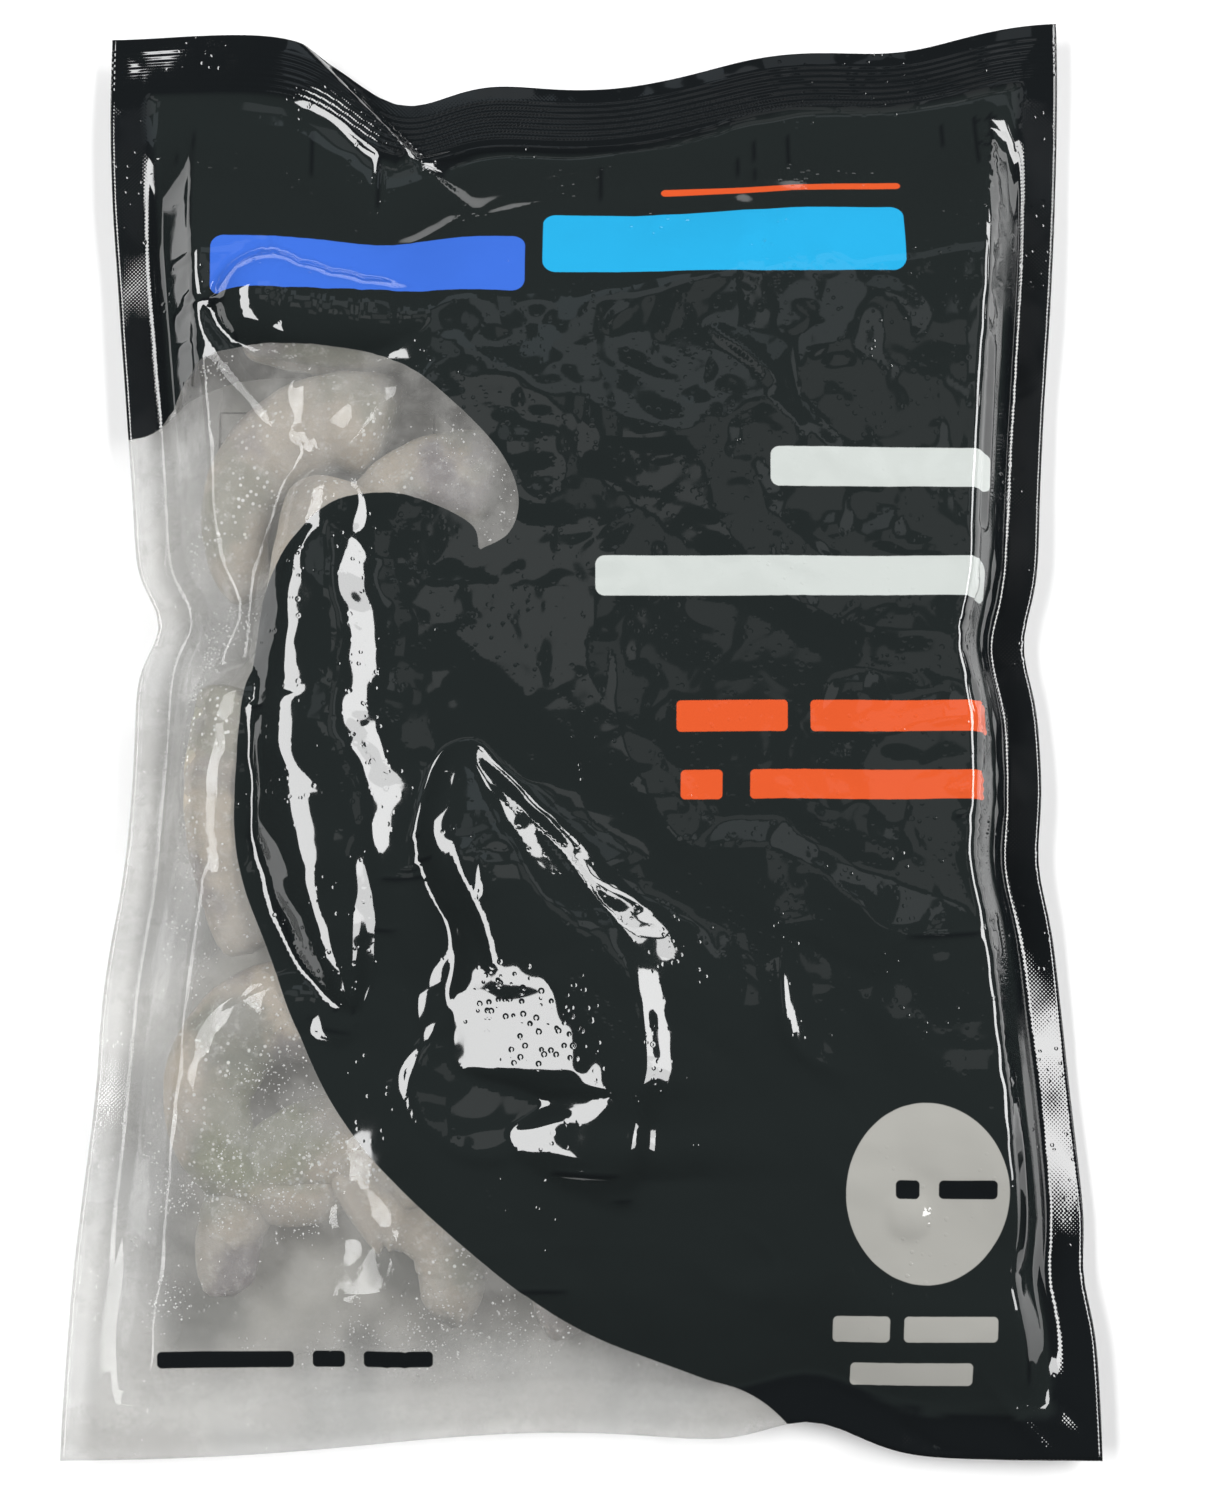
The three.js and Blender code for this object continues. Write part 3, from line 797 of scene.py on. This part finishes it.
def make_film():
    """The whole film: the draped front, a plain back, and one strip between them round the rim."""
    field = contents_height()
    draped = drape_film(field)
    ground = height_under(field, draped[..., 0], draped[..., 1])
    gap = draped[..., 2] - ground
    creased = draped[..., 2] + crumples(draped) + creases(draped[..., 0], draped[..., 1])
    on_belly = past_seal(draped[..., 0], draped[..., 1]) > 0
    draped[..., 2] = np.where(on_belly, np.maximum(creased, ground), creased)
    front, front_flat = with_seal_rows(draped)
    back, back_flat = make_back(front.shape[1])
    corners = np.vstack([front.reshape(-1, 3), back.reshape(-1, 3)])
    front_index = np.arange(front[..., 0].size).reshape(front.shape[:2])
    back_index = front_index.size + np.arange(back[..., 0].size).reshape(back.shape[:2])
    faces = grid_faces(0, *front.shape[:2]).tolist()
    faces += grid_faces(front_index.size, *back.shape[:2], flip=True).tolist()
    faces += joined_rings(rim(front_index), rim(back_index), corners)
    piece = add_mesh("pouch_film", corners * MM, faces)
    place = np.vstack([front_flat.reshape(-1, 3), back_flat.reshape(-1, 3)])
    add_attribute(piece, "flat_place", place)
    add_attribute(piece, "window_edge", window_distance(place[:, 0], place[:, 1]))
    add_attribute(piece, "past_seal", past_seal(place[:, 0], place[:, 1]))
    below_seal = front_index[-SEAL_ROWS, 0]
    # Painted sheen: 1 where the film lies close to the prawns, where its black is painted paler.
    cling_sheen = np.zeros(len(place))
    cling_sheen[:below_seal] = smooth_step(gap, *CLING_GAP).ravel()[:below_seal]
    add_attribute(piece, "cling_sheen", cling_sheen)
    return piece, draped


def joined_rings(outer, inner, vertices):
    """Triangles between two closed rings of vertices, each step taken on the ring that lags behind."""

    def shares(ring):
        points = vertices[np.append(ring, ring[0])]
        run = np.concatenate([[0], np.cumsum(np.linalg.norm(np.diff(points[:, :2], axis=0), axis=1))])
        return run / run[-1]

    outer_at, inner_at = shares(outer), shares(inner)
    triangles, i, j = [], 0, 0
    while i < len(outer) or j < len(inner):
        here, there = outer[i % len(outer)], inner[j % len(inner)]
        if j >= len(inner) or (i < len(outer) and outer_at[i + 1] <= inner_at[j + 1]):
            i += 1
            triangles.append((outer[i % len(outer)], here, there))
        else:
            j += 1
            triangles.append((inner[j % len(inner)], here, there))
    return [tuple(int(v) for v in t) for t in triangles]


# ---- The prawns' bodies ---------------------------------------------------------------------

RINGS, SIDES = 56, 26  # of vertices along and round a body
FLESH_RADIUS = 0.95 * BODY_RADIUS  # inside its glaze
FLATTENED = 0.96 * BODY_RADIUS  # half the height of a body that nothing flattens
LEAST_HEIGHT = 0.8  # of a body's underside above the table
LEAST_POINT = 0.6  # and of the lowest point of its surface
HEAD_CAP, TAIL_CAP = 0.075, 0.06  # lengths of the rounded ends, as shares of the body
BACK_CUT = 0.16  # depth of the cut along the back, as a share of the radius
BACK_CUT_WIDTH = 0.22  # radians
CUT_OPENS, CUT_CLOSES = (0.02, 0.1), (0.78, 0.9)  # shares along the body
BELLY_PINCH = 0.10  # a share of the radius, as are all the depths that follow
BELLY_PINCH_WIDTH = 0.5  # radians
SEGMENT_SWELL = 0.035  # how much a segment widens towards its end
SEGMENT_STEP = 0.05  # and how far it steps down there
STEP_FROM = 0.86  # share of a segment at which the step starts
FLESH_DENTS = 0.035  # least on the outer side of the curl
FLESH_DENT_CELL = 6  # vertices
TAIL_SAG = 0.35  # how far the thin end sinks, as a share of what the body has lost in thickness
GREATEST_LEAN = 0.05  # slope of a body from its inner to its outer side


def prawn_surface(prawn, seed):
    """One peeled prawn as a tube round its bent middle line.

    The radius falls towards the tail, steps down a little at the end of each of six segments, and
    closes over both ends along a quarter ellipse. A narrow bell curve on the outer side cuts the
    back open, a wider one pinches the belly, and smooth noise dents the whole.
    """
    middle_x, middle_y, curl, start, sweep, axis = prawn
    share = np.linspace(-HEAD_CAP, 1 + TAIL_CAP, RINGS)[:, None]
    inner = np.clip(share, 0, 1)
    over_end = np.where(share < 0, -share / HEAD_CAP, np.where(share > 1, (share - 1) / TAIL_CAP, 0))
    closing = np.sqrt(np.clip(1 - over_end**2, 0, 1))
    taper = 1 - (1 - TAIL_SHARE) * inner**TAPER_POWER
    within = inner * SEGMENTS % 1
    segment = 1 + SEGMENT_SWELL * (within - 0.5) - SEGMENT_STEP * smooth_step(within, STEP_FROM, 1)
    turn = np.linspace(0, 2 * np.pi, SIDES, endpoint=False)[None, :]
    from_back, from_belly = (np.angle(np.exp(1j * (turn - at))) for at in (0, np.pi))
    cut_along = smooth_step(inner, *CUT_OPENS) * (1 - smooth_step(inner, *CUT_CLOSES))
    cut = BACK_CUT * np.exp(-((from_back / BACK_CUT_WIDTH) ** 2)) * cut_along
    pinch = BELLY_PINCH * np.exp(-((from_belly / BELLY_PINCH_WIDTH) ** 2))
    dents = FLESH_DENTS * smooth_noise((RINGS, SIDES), FLESH_DENT_CELL, seed) * (1 - np.cos(turn)) / 2
    radius = FLESH_RADIUS * taper * segment * closing * (1 - cut - pinch + dents)
    low, high = max(LEAST_HEIGHT, axis - FLATTENED), axis + FLATTENED
    flatness = (high - low) / 2 / FLATTENED
    outwards, upwards = radius * np.cos(turn), radius * np.sin(turn) * flatness
    lean = np.random.default_rng(seed).uniform(-GREATEST_LEAN, GREATEST_LEAN)
    angle = np.radians(start + sweep * share)
    x = middle_x + (curl + outwards) * np.cos(angle)
    y = middle_y + (curl + outwards) * np.sin(angle)
    sag = flatness * FLATTENED * (1 - taper) * TAIL_SAG
    z = (high + low) / 2 - sag + upwards + lean * outwards
    return np.stack([x, y, np.maximum(z, LEAST_POINT)], -1)


def make_prawns():
    """All prawns in one mesh, each closed by a fan over both ends."""
    vertices, faces, tints = [], [], []
    start = 0
    rng = np.random.default_rng(8)
    for number, prawn in enumerate(PRAWNS):
        surface = prawn_surface(prawn, 100 + number)
        index = start + np.arange(RINGS * SIDES).reshape(RINGS, SIDES)
        ahead = np.roll(index, -1, axis=1)
        first, last = start + RINGS * SIDES, start + RINGS * SIDES + 1
        quads = np.stack([index[:-1], ahead[:-1], ahead[1:], index[1:]], -1).reshape(-1, 4)
        first_fan = np.stack([index[0], np.full(SIDES, first), ahead[0]], -1)
        last_fan = np.stack([ahead[-1], np.full(SIDES, last), index[-1]], -1)
        turns_left = prawn[4] > 0
        for group in (quads, first_fan, last_fan):
            faces += (group if turns_left else group[:, ::-1]).tolist()
        vertices += [surface.reshape(-1, 3), surface[0].mean(0)[None], surface[-1].mean(0)[None]]
        tints += [np.full(RINGS * SIDES + 2, rng.uniform(0, 1))]
        start += RINGS * SIDES + 2
    piece = add_mesh("prawns", np.vstack(vertices) * MM, faces)
    add_attribute(piece, "tint", np.concatenate(tints))
    return piece


# ---- Frost under the window -----------------------------------------------------------------

FROST_CRYSTALS = 6000
FROST_TRIES = 12 * FROST_CRYSTALS
FROST_SIZE = (0.07, 0.26)
FROST_STRETCH = (0.6, 1.4)  # of a crystal, in each of its three directions
FROST_DEPTH = 0.35  # below the film
FROST_DRIFTS = [(22, 1, 61), (8, 0.7, 62)]  # noise: cell in grid points, height and seed
FROST_FROM = (0.7, 0.5)  # a crystal is kept where the noise is above a draw of this mean and spread
FROST_PAST_EDGE, FROST_PAST_SEAL = 0.5, 3  # no crystal lies nearer to the window's edge or a seal
CRYSTAL_CORNERS = np.array([(1, 0, 0), (0, 1, 0), (-1, 0, 0), (0, -1, 0), (0, 0, 1), (0, 0, -1)])
CRYSTAL_SIDES = np.array(
    [(0, 1, 4), (1, 2, 4), (2, 3, 4), (3, 0, 4), (1, 0, 5), (2, 1, 5), (3, 2, 5), (0, 3, 5)]
)


def make_frost(draped):
    """Small eight-sided ice crystals just under the clear film, thicker where the noise is high."""
    rng = np.random.default_rng(21)
    rows, columns = draped.shape[:2]
    row, column = rng.uniform(0, rows - 1.01, FROST_TRIES), rng.uniform(0, columns - 1.01, FROST_TRIES)
    i, j = column.astype(int), row.astype(int)
    a, b = (column - i)[:, None], (row - j)[:, None]
    near = draped[j, i] * (1 - a) + draped[j, i + 1] * a
    far = draped[j + 1, i] * (1 - a) + draped[j + 1, i + 1] * a
    place = near * (1 - b) + far * b
    drift = sum(high * smooth_noise((rows, columns), cell, seed)[j, i] for cell, high, seed in FROST_DRIFTS)
    x, y = place[:, 0], place[:, 1]
    seen = (window_distance(x, y) > FROST_PAST_EDGE) & (past_seal(x, y) > FROST_PAST_SEAL)
    kept = place[seen & (drift > rng.normal(*FROST_FROM, len(drift)))][:FROST_CRYSTALS]
    size = rng.uniform(*FROST_SIZE, (len(kept), 1, 1)) * rng.uniform(*FROST_STRETCH, (len(kept), 1, 3))
    vertices = (kept - (0, 0, FROST_DEPTH))[:, None, :] + CRYSTAL_CORNERS[None] * size
    faces = (np.arange(len(kept))[:, None, None] * len(CRYSTAL_CORNERS) + CRYSTAL_SIDES).reshape(-1, 3)
    return add_mesh("frost_crystals", vertices.reshape(-1, 3) * MM, faces, smooth=False)


# ---- Shader maths ---------------------------------------------------------------------------


class Value:
    """A node's output socket. Arithmetic on it adds Math nodes to its material."""

    def __init__(self, finish, socket):
        self.finish, self.socket = finish, socket

    def maths(self, operation, *inputs):
        return self.finish.node("ShaderNodeMath", {"operation": operation}, dict(enumerate(inputs)))

    def __add__(self, other):
        return self.maths("ADD", self, other)

    def __sub__(self, other):
        return self.maths("SUBTRACT", self, other)

    def __rsub__(self, other):
        return self.maths("SUBTRACT", other, self)

    def __mul__(self, other):
        return self.maths("MULTIPLY", self, other)

    def __truediv__(self, other):
        return self.maths("DIVIDE", self, other)

    def __pow__(self, other):
        return self.maths("POWER", self, other)

    def __abs__(self):
        return self.maths("ABSOLUTE", self)

    __radd__, __rmul__ = __add__, __mul__

    def sine(self):
        return self.maths("SINE", self)

    def most(self, other):
        return self.maths("MAXIMUM", self, other)

    def ramp(self, low, high):
        """0 below low, 1 above high, smooth between; from 1 to 0 where low is above high."""
        if low > high:
            return 1 - self.ramp(high, low)
        inputs = {"Value": self, "From Min": low, "From Max": high}
        return self.finish.node("ShaderNodeMapRange", {"interpolation_type": "SMOOTHSTEP"}, inputs)


class Finish:
    """One material, built node by node."""

    def __init__(self, name):
        self.material = bpy.data.materials.new(name)
        self.material.use_nodes = True
        self.nodes, self.links = self.material.node_tree.nodes, self.material.node_tree.links
        self.nodes.clear()

    def node(self, kind, settings=None, inputs=None, output=0):
        """Adds a node: its settings first, then a value or a link for each named input."""
        node = self.nodes.new(kind)
        for name, value in (settings or {}).items():
            setattr(node, name, value)
        for name, value in (inputs or {}).items():
            if isinstance(value, Value):
                self.links.new(value.socket, node.inputs[name])
            else:
                node.inputs[name].default_value = value
        return Value(self, node.outputs[output]) if node.outputs else None

    def attribute(self, name, output="Fac"):
        return self.node("ShaderNodeAttribute", {"attribute_name": name}, output=output)

    def parts(self, vector):
        split = self.node("ShaderNodeSeparateXYZ", inputs={"Vector": vector}).socket.node
        return [Value(self, socket) for socket in split.outputs]

    def object_place(self):
        return self.node("ShaderNodeTexCoord", output="Object")

    def noise(self, place, scale, detail=3.0, roughness=0.5, distortion=0.0):
        inputs = {
            "Vector": place, "Scale": scale, "Detail": detail, "Roughness": roughness,
            "Distortion": distortion,
        }
        return self.node("ShaderNodeTexNoise", inputs=inputs)

    def spots(self, place, scale):
        """Distance to the nearest of scattered points."""
        return self.node("ShaderNodeTexVoronoi", inputs={"Vector": place, "Scale": scale})

    def mix(self, share, first, second):
        """A colour between two colours."""
        node = self.nodes.new("ShaderNodeMix")
        node.data_type = "RGBA"
        for socket, value in ((node.inputs[0], share), (node.inputs[6], first), (node.inputs[7], second)):
            if isinstance(value, Value):
                self.links.new(value.socket, socket)
            else:
                socket.default_value = value if socket is node.inputs[0] else (*value, 1)
        return Value(self, node.outputs[2])

    def bump(self, height, distance, strength=1.0, normal=None):
        inputs = {"Height": height, "Distance": distance, "Strength": strength}
        if normal:
            inputs["Normal"] = normal
        return self.node("ShaderNodeBump", inputs=inputs)

    def surface(self, **inputs):
        """Ends the material in a Principled shader; underscores in names stand for spaces."""
        named = {name.replace("_", " "): value for name, value in inputs.items()}
        shader = self.node("ShaderNodeBsdfPrincipled", inputs=named)
        self.node("ShaderNodeOutputMaterial", inputs={"Surface": shader})
        return self.material


# ---- Finishes -------------------------------------------------------------------------------

BLACK = (0.0060, 0.0075, 0.0085)
# Painted sheen: the black as painted paler where the film clings to the prawns.
PAINTED_SHEEN_BLACK = (0.0120, 0.0155, 0.0155)
# Painted shade: the back is painted grey for the shade inside the pouch, and paler in random patches.
BACK_SHADE_GREY = (0.20, 0.205, 0.19)
BACK_PALE = (0.50, 0.49, 0.45)
BAR_BLUE = (0.040, 0.130, 0.56)
BAR_CYAN = (0.018, 0.34, 0.62)
BAR_ORANGE = (0.62, 0.085, 0.022)
BAR_GREY = (0.50, 0.53, 0.51)
DISC_GREY = (0.36, 0.355, 0.33)
MILKY = (0.37, 0.365, 0.35)
PRAWN_BEIGE = (0.40, 0.345, 0.275)
PRAWN_PALE = (0.50, 0.46, 0.40)
PRAWN_GREEN = (0.17, 0.18, 0.135)
PRAWN_PURPLE = (0.15, 0.13, 0.145)
# Painted shade: the grey that the lower parts of the prawns are painted towards.
PRAWN_DEEP_SHADE = (0.30, 0.30, 0.28)
FROST_WHITE = (0.80, 0.80, 0.78)
# Stretches of the flesh with a colour of their own: x, y, reach in metres, and the colour.
TINTS = [
    (-0.070, -0.094, 0.014, (0.20, 0.215, 0.13)), (-0.076, -0.074, 0.010, (0.16, 0.17, 0.14)),
    (-0.071, -0.127, 0.010, (0.13, 0.11, 0.13)), (-0.032, -0.143, 0.010, (0.13, 0.14, 0.135)),
    (-0.093, -0.112, 0.009, (0.17, 0.18, 0.15)), (-0.062, -0.080, 0.007, (0.14, 0.13, 0.14)),
]
FIELD_EDGE = 0.12  # half the width over which two printed fields meet
KNURL_PITCH = 0.9  # of the fine pimples on the seals

# Plain bars printed on the film: left, right, bottom, top.
BLUE_BARS = [(-85, -13, 93, 108)]
CYAN_BARS = [(-9, 73, 98, 115)]
GREY_BARS = [(42, 91, 47.5, 56.5), (3, 91, 22.5, 31.5)]
ORANGE_BARS = [
    (21, 45, -8, -1), (50, 90, -8, -1), (22, 31, -23, -16.5), (37, 88, -23, -16.5), (18, 73, 121, 123),
]
DIM_BARS = [(54, 66, -139.5, -134), (69, 89, -139.5, -134), (58, 84, -149, -144)]
DARK_BARS = [
    (-91, -62, -145, -141.5), (-58, -51, -145, -141.5), (-47, -32, -145, -141.5),
    (67, 72, -109, -105), (76, 88, -109, -105),
]
# Thin lines on the back that show through the window: two upright ones, then the level ones.
BACK_LINE_HALF = 0.2
BACK_LINES = [(-85.2, -84.8, 47, 72), (-35.2, -34.8, 47, 74.6)] + [
    (-85, -35, y - BACK_LINE_HALF, y + BACK_LINE_HALF) for y in (72, 64.5, 60, 51)
]
DISC = {"x": 73.5, "y": -108, "half_width": 17.0, "half_height": 19.4}
PATCH = {"x": -9, "y": -71, "half_width": 16, "half_height": 13}  # where the film is pitted with frost


def film_finish():
    """Glossy film: its printed fields, the clear window, painted sheen and shade, and bumps finer than the
    mesh.
    """
    finish = Finish("printed_film")
    place = finish.attribute("flat_place", "Vector")
    x, y, front = finish.parts(place)
    window = finish.attribute("window_edge").ramp(-FIELD_EDGE, FIELD_EDGE)

    def bars(list_of_bars, corner=1.2):
        """1 inside any of the rounded bars: the distance to a box, less the corner's radius."""
        shown = None
        for left, right, bottom, top in list_of_bars:
            out_x = abs(x - (left + right) / 2) - ((right - left) / 2 - corner)
            out_y = abs(y - (bottom + top) / 2) - ((top - bottom) / 2 - corner)
            far = (out_x.most(0) ** 2 + out_y.most(0) ** 2) ** 0.5
            bar = (far - corner).ramp(FIELD_EDGE, -FIELD_EDGE)
            shown = bar if shown is None else shown.most(bar)
        return shown

    def oval(sizes):
        """0 in the middle of an oval, and 1 on its edge."""
        across, along = (x - sizes["x"]) / sizes["half_width"], (y - sizes["y"]) / sizes["half_height"]
        return (across**2 + along**2) ** 0.5

    disc = oval(DISC).ramp(1.007, 0.993)
    # The black is painted paler where the film clings to the prawns, a painted sheen.
    black = finish.mix(finish.attribute("cling_sheen"), BLACK, PAINTED_SHEEN_BLACK)
    # Painted shade: the back is grey for the shade inside the pouch, mixed by noise with a paler tone.
    back = finish.mix(finish.noise(place, 0.035, 2).ramp(0.4, 0.6), BACK_SHADE_GREY, BACK_PALE)
    colour = finish.mix(window, black, finish.mix(front, back, MILKY))
    for tone, mask in (
        (BAR_BLUE, bars(BLUE_BARS, 3)),
        (BAR_CYAN, bars(CYAN_BARS, 3)),
        (BAR_ORANGE, bars(ORANGE_BARS, 1)),
        (BAR_GREY, bars(GREY_BARS, 2)),
        (DISC_GREY, disc),
        (DISC_GREY, bars(DIM_BARS, 1)),
    ):
        colour = finish.mix(mask * front, colour, tone)
    dark = bars(DARK_BARS, 1) * front
    colour = finish.mix(dark, colour, BLACK)
    ruled = bars(BACK_LINES, 0.1) * (1 - front)
    colour = finish.mix(ruled, colour, BLACK)
    # Painted shade: the grey back grows more opaque further in from the seals, so its painted shade shows
    # through the window.
    shaded_back = (1 - front) * finish.attribute("past_seal").ramp(4, 22) * 0.58
    haze = finish.noise(place, 0.07, 5, 0.6).ramp(0.42, 0.62) * front * 0.20
    alpha = 1 - window * (1 - dark.most(ruled)) * (0.70 - shaded_back - haze)
    on_seal = finish.attribute("past_seal").ramp(-0.2, -1.0)
    turn = 2 * math.pi / KNURL_PITCH
    below_weld = (POUCH_LENGTH / 2 - TOP_SEAL - 4 - y).ramp(-3, 3)
    knurl = (x * turn).sine() * (y * turn).sine() * on_seal * below_weld
    ripples = finish.noise(place, 0.09, 1, 0.4, 0.5)
    tall = finish.parts(finish.object_place())[2].ramp(0.022, 0.025) * front
    in_patch = oval(PATCH).ramp(1.1, 0.7) * 0.9 + 0.1
    pits = finish.spots(place, 0.46).ramp(0.34, 0.14) * tall * in_patch
    beads = finish.spots(place, 0.45).ramp(0.24, 0.08) * finish.noise(place, 0.05, 2).ramp(0.50, 0.60)
    dents = finish.bump(beads, 0.00006, 1, finish.bump(pits, -0.00012, 1, finish.bump(ripples, 0.0003)))
    return finish.surface(
        Base_Color=colour, Roughness=0.05, Alpha=alpha, IOR=1.75,
        Normal=finish.bump(knurl, 0.00001, 1, dents),
    )


def prawn_finish():
    """Raw flesh: beige with grey-green and purple-grey stretches, white frost in its dents, painted shade
    low down.
    """
    finish = Finish("raw_prawn")
    place = finish.object_place()
    x, y, z = finish.parts(place)
    colour = finish.mix(finish.noise(place, 34, 3).ramp(0.46, 0.58), PRAWN_BEIGE, PRAWN_GREEN)
    shifted = finish.node("ShaderNodeVectorMath", {"operation": "ADD"}, {0: place, 1: (0.3, 0.7, 0.1)})
    colour = finish.mix(finish.noise(shifted, 38, 3).ramp(0.54, 0.64), colour, PRAWN_PURPLE)
    colour = finish.mix(finish.attribute("tint") * 0.35, colour, PRAWN_PALE)
    # Painted shade: each prawn is painted greyer and darker towards the table.
    deep_shade = z.ramp(0.017, 0.006)
    colour = finish.mix(deep_shade * 0.75, colour, PRAWN_DEEP_SHADE)
    blur = finish.noise(place, 90, 4, 0.6)
    for middle_x, middle_y, reach, tone in TINTS:
        far = ((x - middle_x) ** 2 + (y - middle_y) ** 2) ** 0.5 / reach + (blur - 0.5) * 1.6
        colour = finish.mix(far.ramp(1.15, 0.6) * 0.85, colour, tone)
    frost = finish.noise(place, 420, 5, 0.7)
    colour = finish.mix(frost.ramp(0.50, 0.72) * 0.35, colour, FROST_WHITE)
    grains = finish.spots(place, 620).ramp(0.30, 0.16) * finish.noise(place, 70, 2).ramp(0.46, 0.60)
    colour = finish.mix(grains, colour, FROST_WHITE)
    return finish.surface(
        Base_Color=colour, Roughness=0.4, Normal=finish.bump(frost, 0.0006, 0.6), Subsurface_Weight=0.2,
        Subsurface_Radius=(0.006, 0.004, 0.0025), Subsurface_Scale=1.0,
    )


def speckled_finish(name, scale, darker, paler, roughness):
    """Two close tones, mixed by noise."""
    finish = Finish(name)
    tone = finish.mix(finish.noise(finish.object_place(), scale, 2), darker, paler)
    return finish.surface(Base_Color=tone, Roughness=roughness)


# ---- Building the pouch ---------------------------------------------------------------------

film, draped_film = make_film()
film.data.materials.append(film_finish())
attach(film, "root")
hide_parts("prawn_pouch")

prawns = make_prawns()
prawns.data.materials.append(prawn_finish())
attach(prawns, "root")

frost = make_frost(draped_film)
frost.data.materials.append(speckled_finish("frost", 200, (0.85, 0.86, 0.86), (0.95, 0.95, 0.95), 0.35))
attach(frost, "root")

# ---- Floor, lights and camera ---------------------------------------------------------------

FLOOR_HALF = 3.0  # metres
corners = np.array([(-1, -1, 0), (1, -1, 0), (1, 1, 0), (-1, 1, 0)]) * FLOOR_HALF
floor = add_mesh("floor", corners, [(0, 1, 2, 3)], smooth=False)
floor.data.materials.append(
    speckled_finish("pale_floor", 40, (0.90, 0.90, 0.90), (0.92, 0.92, 0.92), 0.7)
)


def add_panel(name, centre, size, radiance, colour=(1, 1, 1)):
    """A flat light that faces straight down. A panel of unit radiance gives pi watts a square metre."""
    light = bpy.data.lights.new(name, "AREA")
    light.shape = "RECTANGLE"
    light.size, light.size_y = size
    light.energy = math.pi * size[0] * size[1] * radiance
    light.color = colour
    lamp = bpy.data.objects.new(name, light)
    lamp.location = centre
    bpy.context.collection.objects.link(lamp)


PANEL_HEIGHT = 1.2
PANELS = [  # name, middle, width and length, radiance
    ("left_panel", (-1.05, 0.0), (0.75, 1.7), 9.0),
    ("right_panel", (1.2, 0.20), (0.7, 0.85), 10.0),
    ("right_far_panel", (1.2, 0.80), (0.7, 0.35), 8.0),
    ("right_back_panel", (1.1, 1.4), (0.7, 0.6), 9.0),
    ("right_corner_panel", (2.25, 1.95), (1.6, 1.9), 8.0),
    ("right_near_panel", (1.2, -0.40), (0.7, 0.35), 8.0),
]
CEILING_HEIGHT = 1.5
CEILING = [  # pale patches overhead: middle, width and length, radiance, blueness
    ((0.30, 0.16), (0.22, 0.18), 0.20, 0),
    ((-0.16, 0.38), (0.30, 0.20), 0.34, 0),
    ((0.18, 0.46), (0.22, 0.26), 0.18, 0),
    ((0.42, 0.58), (0.16, 0.30), 0.34, 0.1),
    ((-0.36, 0.66), (0.24, 0.26), 0.22, 0.2),
    ((0.02, 0.76), (0.34, 0.22), 0.30, 0.2),
    ((0.32, 0.96), (0.26, 0.26), 0.24, 0.3),
    ((-0.22, 1.02), (0.34, 0.30), 0.34, 0.4),
]
for name, middle, size, radiance in PANELS:
    add_panel(name, (*middle, PANEL_HEIGHT), size, radiance)
for number, (middle, size, radiance, blue) in enumerate(CEILING):
    colour = (1 - blue / 2, 1 - blue / 5, 1)
    add_panel(f"ceiling_panel_{number}", (*middle, CEILING_HEIGHT), size, radiance, colour)

world = bpy.data.worlds.new("dim_room")
world.use_nodes = True
world.node_tree.nodes["Background"].inputs["Color"].default_value = (0.03, 0.03, 0.03, 1)
bpy.context.scene.world = world
bpy.context.scene.view_settings.view_transform = "Standard"

CAMERA_DISTANCE = 0.58
CAMERA_ELEVATION = math.radians(80)
CAMERA_LENS = 60.8  # millimetres, for the 36 mm sensor's long side
CAMERA_AIM = (0.0063, -0.0082, 0.0)

camera_data = bpy.data.cameras.new("camera")
camera_data.lens = CAMERA_LENS
camera = bpy.data.objects.new("camera", camera_data)
bpy.context.collection.objects.link(camera)
back_off = (0, -CAMERA_DISTANCE * math.cos(CAMERA_ELEVATION), CAMERA_DISTANCE * math.sin(CAMERA_ELEVATION))
camera.location = [aim + off for aim, off in zip(CAMERA_AIM, back_off)]
camera.rotation_euler = (math.pi / 2 - CAMERA_ELEVATION, 0, 0)
bpy.context.scene.camera = camera
